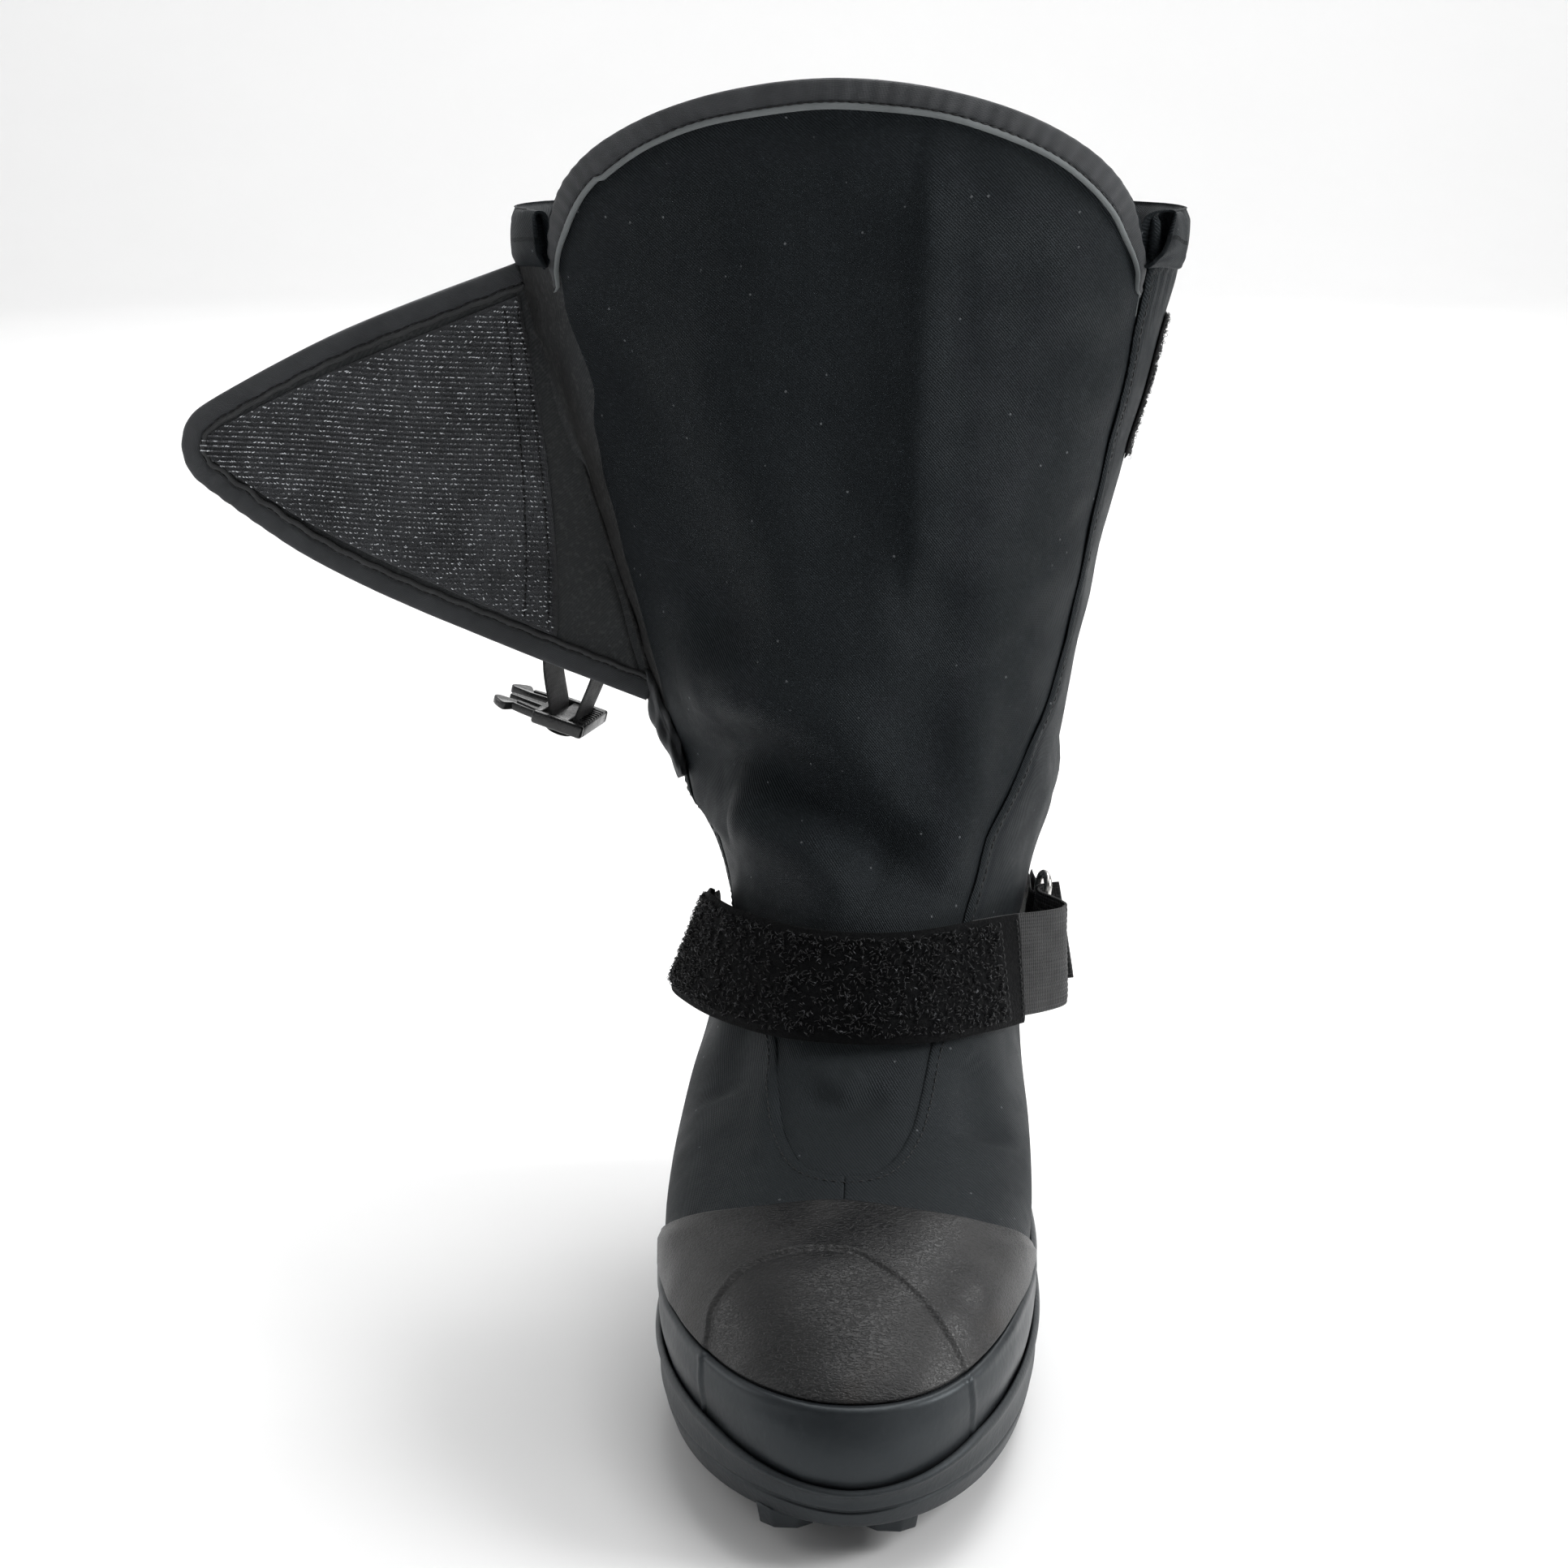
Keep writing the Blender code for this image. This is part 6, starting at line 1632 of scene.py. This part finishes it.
def build_strap():
    """Ankle strap: fuzzy pile between two woven selvedges."""

    def nap(s, w):
        place = np.stack([s, w, 0 * s], -1)
        inside = ease((STRAP_WIDTH / 2 - np.abs(w) - 0.0012) / 0.002)
        inside = inside * ease((s.max() - STRAP_TAB - s) / 0.001)
        return inside * (0.0005 + 0.0004 * ripple(place, 0.004, 41) + 0.0003 * ripple(place, 0.0018, 43))

    rows = route_rows(STRAP_ROUTE, 200)
    size = (STRAP_WIDTH, STRAP_THICK)
    made, face, flat, length = add_ribbon("ankle_strap_band", rows, *size, PILE, nap, across=71)
    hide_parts("ankle_strap")
    plain = int(np.searchsorted(length, length[-1] - STRAP_TAB))
    spots, up = scatter_on(face[:plain, 4:-4], flat[:plain], STRAP_LOOP_COUNT, 0.005)
    loop_fibres("ankle_strap_pile", spots, up, *STRAP_LOOPS, FIBRE)
    for name, back in (("strap_seam_pile", STRAP_TAB), ("strap_seam_end", 0.002)):
        k = int(np.searchsorted(length, length[-1] - back))
        line = face[k, 4:-4]
        add_stitches(name, line, np.tile(flat[k], (len(line), 1)), *STRAP_STITCH)


RIB_HIGH, RIB_PITCH = 0.00024, 0.0021


def build_elastic():
    """Elastic end of the strap: ribs along its length, round the ring and back to a free tail."""

    def ribs(_, w):
        return RIB_HIGH * np.abs(np.sin(math.pi * w / RIB_PITCH))

    rows = route_rows(ELASTIC_ROUTE, 130)
    size = (ELASTIC_WIDTH, ELASTIC_THICK)
    made = add_ribbon("strap_elastic_band", rows, *size, ELASTIC, ribs, ribs, 81)[0]
    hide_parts("strap_elastic")
    rows = route_rows(LOOP_ROUTE, 90)
    made = add_ribbon("ring_loop_band", rows, LOOP_WIDTH, WEBBING_THICK, WEBBING, across=31)[0]
    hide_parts("ring_loop")


def build_ring():
    """Plated wire ring: an upright rounded rectangle of smooth round wire."""
    across = RING_OUTER_BAR - RING_INNER_BAR
    half_across, half_up = across.length / 2, RING_HEIGHT / 2
    side, up = across.normalized(), RING_UP.normalized()
    middle = (RING_OUTER_BAR + RING_INNER_BAR) / 2
    path = []
    for quarter, (sx, sz) in enumerate(((1, 1), (-1, 1), (-1, -1), (1, -1))):
        for k in range(13):
            angle = math.pi / 2 * (quarter + k / 12)
            a = sx * (half_across - RING_CORNER) + RING_CORNER * math.cos(angle)
            b = sz * (half_up - RING_CORNER) + RING_CORNER * math.sin(angle)
            path.append(middle + side * a + up * b)
    points = resample(np.array(path + path[:1]), 0.0012)[:-1]
    ahead = unit(np.roll(points, -1, 0) - np.roll(points, 1, 0))
    plane = np.array(side.cross(up).normalized())
    outward = np.cross(ahead, plane)
    angles = circle(20)
    loops = np.stack([points + RING_WIRE * (outward * math.cos(a) + plane * math.sin(a)) for a in angles], 1)
    made = add_sweep("ring_wire", loops, STEEL, ring=True)
    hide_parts("strap_ring")


def build_loop_patch():
    """Soft fastener patch on the outer side of the leg, with a fuzzy pile."""
    rise = np.linspace(0, 1, PATCH_STEPS)
    u = np.linspace(PATCH_COLUMNS[0] + 0.068, PATCH_COLUMNS[1] - 0.02, PATCH_STEPS)
    low, high = (row_at(u, z) for z in PATCH_HEIGHTS)
    t = low[None, :] + (high - low)[None, :] * rise[:, None]
    base, normal = last_frame(u[None, :], t)
    relief = cloth_relief(base, normal)
    inset = np.minimum(rise, 1 - rise)
    edge = np.minimum(inset[:, None], inset[None, :]) * 0.045
    nap = (0.0002 * ripple(base, 0.004, 51) + 0.0002 * ripple(base, 0.0018, 53)) * ease(edge / 0.002)
    top = relief + 2 * GAP + PATCH_THICK * (0.3 + 0.4 * ease(edge / 0.001)) + nap
    outer = lifted(base, normal, top)
    inner = lifted(base, normal, relief + 2 * GAP)
    made = add_panel("loop_patch_pile", outer, inner, [PILE, PILE])
    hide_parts("loop_patch")
    rows = RANDOM.integers(1, PATCH_STEPS - 1, PATCH_LOOP_COUNT)
    cols = RANDOM.integers(1, PATCH_STEPS - 1, PATCH_LOOP_COUNT)
    roots = outer[rows, cols] + RANDOM.normal(0, 0.0003, (PATCH_LOOP_COUNT, 3))
    loop_fibres("loop_patch_fibres", roots, normal[rows, cols], *PATCH_LOOPS, FIBRE)


# Buckle


def rounded_block(work, low, high, bevel, segments=3):
    made = bmesh.ops.create_cube(work, size=1)["verts"]
    for v in made:
        v.co = Vector((low[k] if v.co[k] < 0 else high[k] for k in range(3)))
    edges = list(dict.fromkeys(e for v in made for e in v.link_edges))
    bmesh.ops.bevel(work, geom=edges, offset=bevel, segments=segments, affect="EDGES", profile=0.5)


def rounded_prism(work, plan, half_deep, bevel, middle=0.0):
    low = [work.verts.new((x, y, middle - half_deep)) for x, y in plan]
    high = [work.verts.new((x, y, middle + half_deep)) for x, y in plan]
    faces = [work.faces.new(low), work.faces.new(high[::-1])]
    for k in range(len(plan)):
        j = (k + 1) % len(plan)
        faces.append(work.faces.new([low[k], low[j], high[j], high[k]]))
    bmesh.ops.recalc_face_normals(work, faces=faces)
    edges = list(dict.fromkeys(e for f in faces for e in f.edges))
    bmesh.ops.bevel(work, geom=edges, offset=bevel, segments=3, affect="EDGES", profile=0.5)


# Outline of a prong: along from the frame, and in from the buckle's side.
PRONG = [
    (-0.0010, 0.0065), (-0.0010, 0.0020), (0.0060, 0.0028), (0.0090, 0.0035), (0.0104, 0.0012),
    (0.0115, 0.0002), (0.0135, 0.0010), (0.0158, 0.0026), (0.0173, 0.0044), (0.0173, 0.0056),
    (0.0162, 0.0068), (0.0090, 0.0075),
]
# The rail on a prong, in the same way, and the guide between them: along and across.
RAIL = [(-0.0005, 0.0052), (0.0082, 0.0060), (0.0082, 0.0044), (-0.0005, 0.0030)]
GUIDE = [(-0.001, 0.0022), (0.014, 0.0014), (0.014, -0.0014), (-0.001, -0.0022)]


def build_buckle():
    """Male half of a side-release buckle: slotted frame, ridged end bar, two prongs and a guide."""
    half_wide, half_deep, half_long = BUCKLE_WIDE / 2, BUCKLE_DEEP / 2, FRAME_LONG / 2
    half_slot = WEBBING_WIDTH / 2 + 0.001
    near, far = -(BAR_LONG + SLOT_LONG) / 2, (BAR_LONG + SLOT_LONG) / 2
    work = bmesh.new()
    for side in (-1, 1):
        rounded_block(
            work,
            (-half_long, min(side * half_slot, side * half_wide), -half_deep),
            (half_long, max(side * half_slot, side * half_wide), half_deep),
            0.0011,
        )
    bars = [
        (-half_long, near - SLOT_LONG / 2, 1.0),
        (near + SLOT_LONG / 2, far - SLOT_LONG / 2, 0.72),
        (far + SLOT_LONG / 2, half_long, 1.0),
    ]
    for low, high, deep in bars:
        wide = half_slot + 0.001
        rounded_block(work, (low, -wide, -half_deep * deep), (high, wide, half_deep * deep), 0.0009)
    for k in range(9):
        y = (k - 4) * 0.0021
        rounded_block(
            work,
            (half_long - 0.0040, y - 0.00055, half_deep - 0.0006),
            (half_long - 0.0004, y + 0.00055, half_deep + 0.0005),
            0.00025,
            2,
        )
    for side in (-1, 1):
        plan = [(-half_long - along, side * (half_wide - inset)) for along, inset in PRONG]
        rounded_prism(work, plan if side > 0 else plan[::-1], half_deep * 0.62, 0.0006)
        plan = [(-half_long - along, side * (half_wide - inset)) for along, inset in RAIL]
        rounded_prism(work, plan if side > 0 else plan[::-1], 0.0007, 0.0003, half_deep * 0.62)
    guide = [(-half_long - along, y) for along, y in GUIDE]
    rounded_prism(work, guide, half_deep * 0.5, 0.0005)
    mesh = bpy.data.meshes.new("buckle_half")
    mesh.materials.append(PLASTIC)
    made = add_work("buckle_half", work, mesh)
    mesh.transform(BUCKLE_PLACE)
    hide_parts("buckle")


def build_buckle_webbing():
    """Narrow webbing hung from the leg's inner side, down round the buckle's bar and back up."""
    near, far = -(BAR_LONG + SLOT_LONG) / 2, (BAR_LONG + SLOT_LONG) / 2
    drop = BUCKLE_DEEP / 2 + TURN_CLEAR
    turns = np.linspace(0, math.pi, 7)
    local = [(near, TURN_RISE), (near, 0.0)]
    local += [(near * math.cos(a), -drop - TURN_DROP * math.sin(a)) for a in turns]
    local += [(far, 0.0), (far, TURN_RISE)]
    through = np.array([tuple(BUCKLE_PLACE @ Vector((x, 0, z))) for x, z in local])
    across = np.array(BUCKLE_PLACE.to_3x3() @ Vector((0, 1, 0)))
    heights = np.linspace(*TAB_HEIGHTS, 3)
    column = np.full(3, TAB_U)
    stations = row_at(column, heights)
    layer = WEBBING_THICK / 2 + 3 * GAP
    over = shell(column, stations, layer + WEBBING_THICK + GAP)
    under = shell(column, stations, layer)[::-1]
    hang = np.array([(x, BUCKLE_AT.y, z) for x, z in TAB_HANG])
    back_up = np.array([(x, BUCKLE_AT.y, z) for x, z in TAB_RETURN])
    centres = np.concatenate([over, hang, through, back_up, under])
    sewn = np.tile((0.0, 1.0, 0.0), (3, 1))
    hung = np.tile(across, (len(centres) - 6, 1))
    ups = np.concatenate([sewn, hung, sewn])
    rows = smooth_rows(np.column_stack([centres, ups]), np.linspace(0, len(centres) - 1, 150))
    made = add_ribbon("buckle_tab", rows, WEBBING_WIDTH, WEBBING_THICK, WEBBING, across=31)[0]
    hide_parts("buckle_webbing")


# Stage

CAMERA_AT = Vector((0.03917, -1.00705, 0.43267))
CAMERA_AHEAD = Vector((-0.06752, 0.96561, -0.25106))
CAMERA_UP = Vector((-0.01751, 0.25044, 0.96797))
SENSOR = 36
LENS = 3400 / 1932 * SENSOR

FLOOR_REACH, WALL_REACH, WALL_TALL = 4.5, 6.5, 3.4
SKY_FRONT, SKY_BACK = 0.09, 0.55


def build_stage():
    """Pale floor that runs up into a pale backdrop, soft studio light and the camera."""
    turn = np.linspace(0, math.pi / 2, 25)
    bend = WALL_REACH - FLOOR_REACH
    reach = np.concatenate([[1.5, 3.0], FLOOR_REACH + bend * np.sin(turn), [WALL_REACH]])
    rise = np.concatenate([[0.0, 0.0], bend * (1 - np.cos(turn)), [WALL_TALL]])
    around = circle(96)
    rings = [[(r * math.cos(a), r * math.sin(a), z) for a in around] for r, z in zip(reach, rise)]
    points = np.array(rings).reshape(-1, 3)
    faces = quads(len(rings), len(around), ring=True) + [list(range(len(around)))[::-1]]
    mesh = bpy.data.meshes.new("floor")
    mesh.from_pydata(points.tolist(), [], faces)
    mesh.shade_smooth()
    floor = link_object("floor", mesh)
    paint = Finish("pale_floor", Roughness=0.85, Specular_IOR_Level=0.05)
    tone = paint.noise(paint.at("Object"), 3, 2, 0.5)
    paint.link(paint.blend(tone, (0.84, 0.84, 0.84), (0.86, 0.86, 0.86)), "Base Color")
    mesh.materials.append(paint.material)
    floor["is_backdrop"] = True
    world = bpy.data.worlds.new("studio")
    world.use_nodes = True
    world.node_tree.nodes["Background"].inputs["Color"].default_value = (1.0, 1.0, 1.0, 1)
    sky, links = world.node_tree.nodes, world.node_tree.links
    split = sky.new("ShaderNodeSeparateXYZ")
    links.new(sky.new("ShaderNodeTexCoord").outputs["Generated"], split.inputs["Vector"])
    level = sky.new("ShaderNodeMapRange")
    ranges = {"From Min": -0.7, "From Max": 0.5, "To Min": SKY_FRONT, "To Max": SKY_BACK}
    for socket, value in ranges.items():
        level.inputs[socket].default_value = value
    links.new(split.outputs["Y"], level.inputs["Value"])
    links.new(level.outputs["Result"], sky["Background"].inputs["Strength"])
    bpy.context.scene.world = world
    lights = [
        ("overhead", (0.15, 0.95, 1.9), (0, -0.10, 0.1), 1.4, 36),
        ("left", (-1.9, 0.2, 1.0), (0, -0.05, 0.22), 1.2, 9),
        ("right", (1.8, -0.20, 1.2), (0, -0.05, 0.22), 0.9, 32),
        ("top", (0.35, -0.15, 2.3), (0, -0.15, 0.1), 1.2, 15),
        ("backdrop", (0.0, 2.4, 3.0), (0, 6.0, 1.2), 3.0, 150),
    ]
    for name, place, aim, size, power in lights:
        lamp = bpy.data.lights.new(name, "AREA")
        lamp.size, lamp.energy = size, power
        made = link_object(name, lamp)
        made.location = place
        made.rotation_euler = (Vector(aim) - Vector(place)).to_track_quat("-Z", "Y").to_euler()
    view = bpy.data.cameras.new("camera")
    view.lens, view.sensor_width = LENS, SENSOR
    view.clip_start = 0.01
    camera = link_object("camera", view)
    right = CAMERA_AHEAD.cross(CAMERA_UP)
    turn = Matrix((right, CAMERA_UP, -CAMERA_AHEAD)).transposed()
    camera.matrix_world = Matrix.Translation(CAMERA_AT) @ turn.to_4x4()
    bpy.context.scene.camera = camera
    bpy.context.scene.view_settings.view_transform = "Standard"


build_stage()
build_quarters()
build_bellows()
build_arch_binding()
build_tunnel("hem_tunnel_outer", 1, 0.07, 0.0026, 0.0040, 0.040)
build_tunnel("hem_tunnel_inner", -1, 0.07, 0.0012, 0.0026, 0.014)
build_rand()
build_toe_cap()
build_outsole()
build_lugs()
build_footbed()
build_flap()
build_flap_root()
build_flap_tuck()
build_flap_binding()
build_hook_patch()
build_strap()
build_elastic()
build_ring()
build_loop_patch()
build_buckle()
build_buckle_webbing()

boxes = {"cad": CAD_BOX, "visual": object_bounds()}
{name: [list(low), list(high)] for name, (low, high) in boxes.items()}
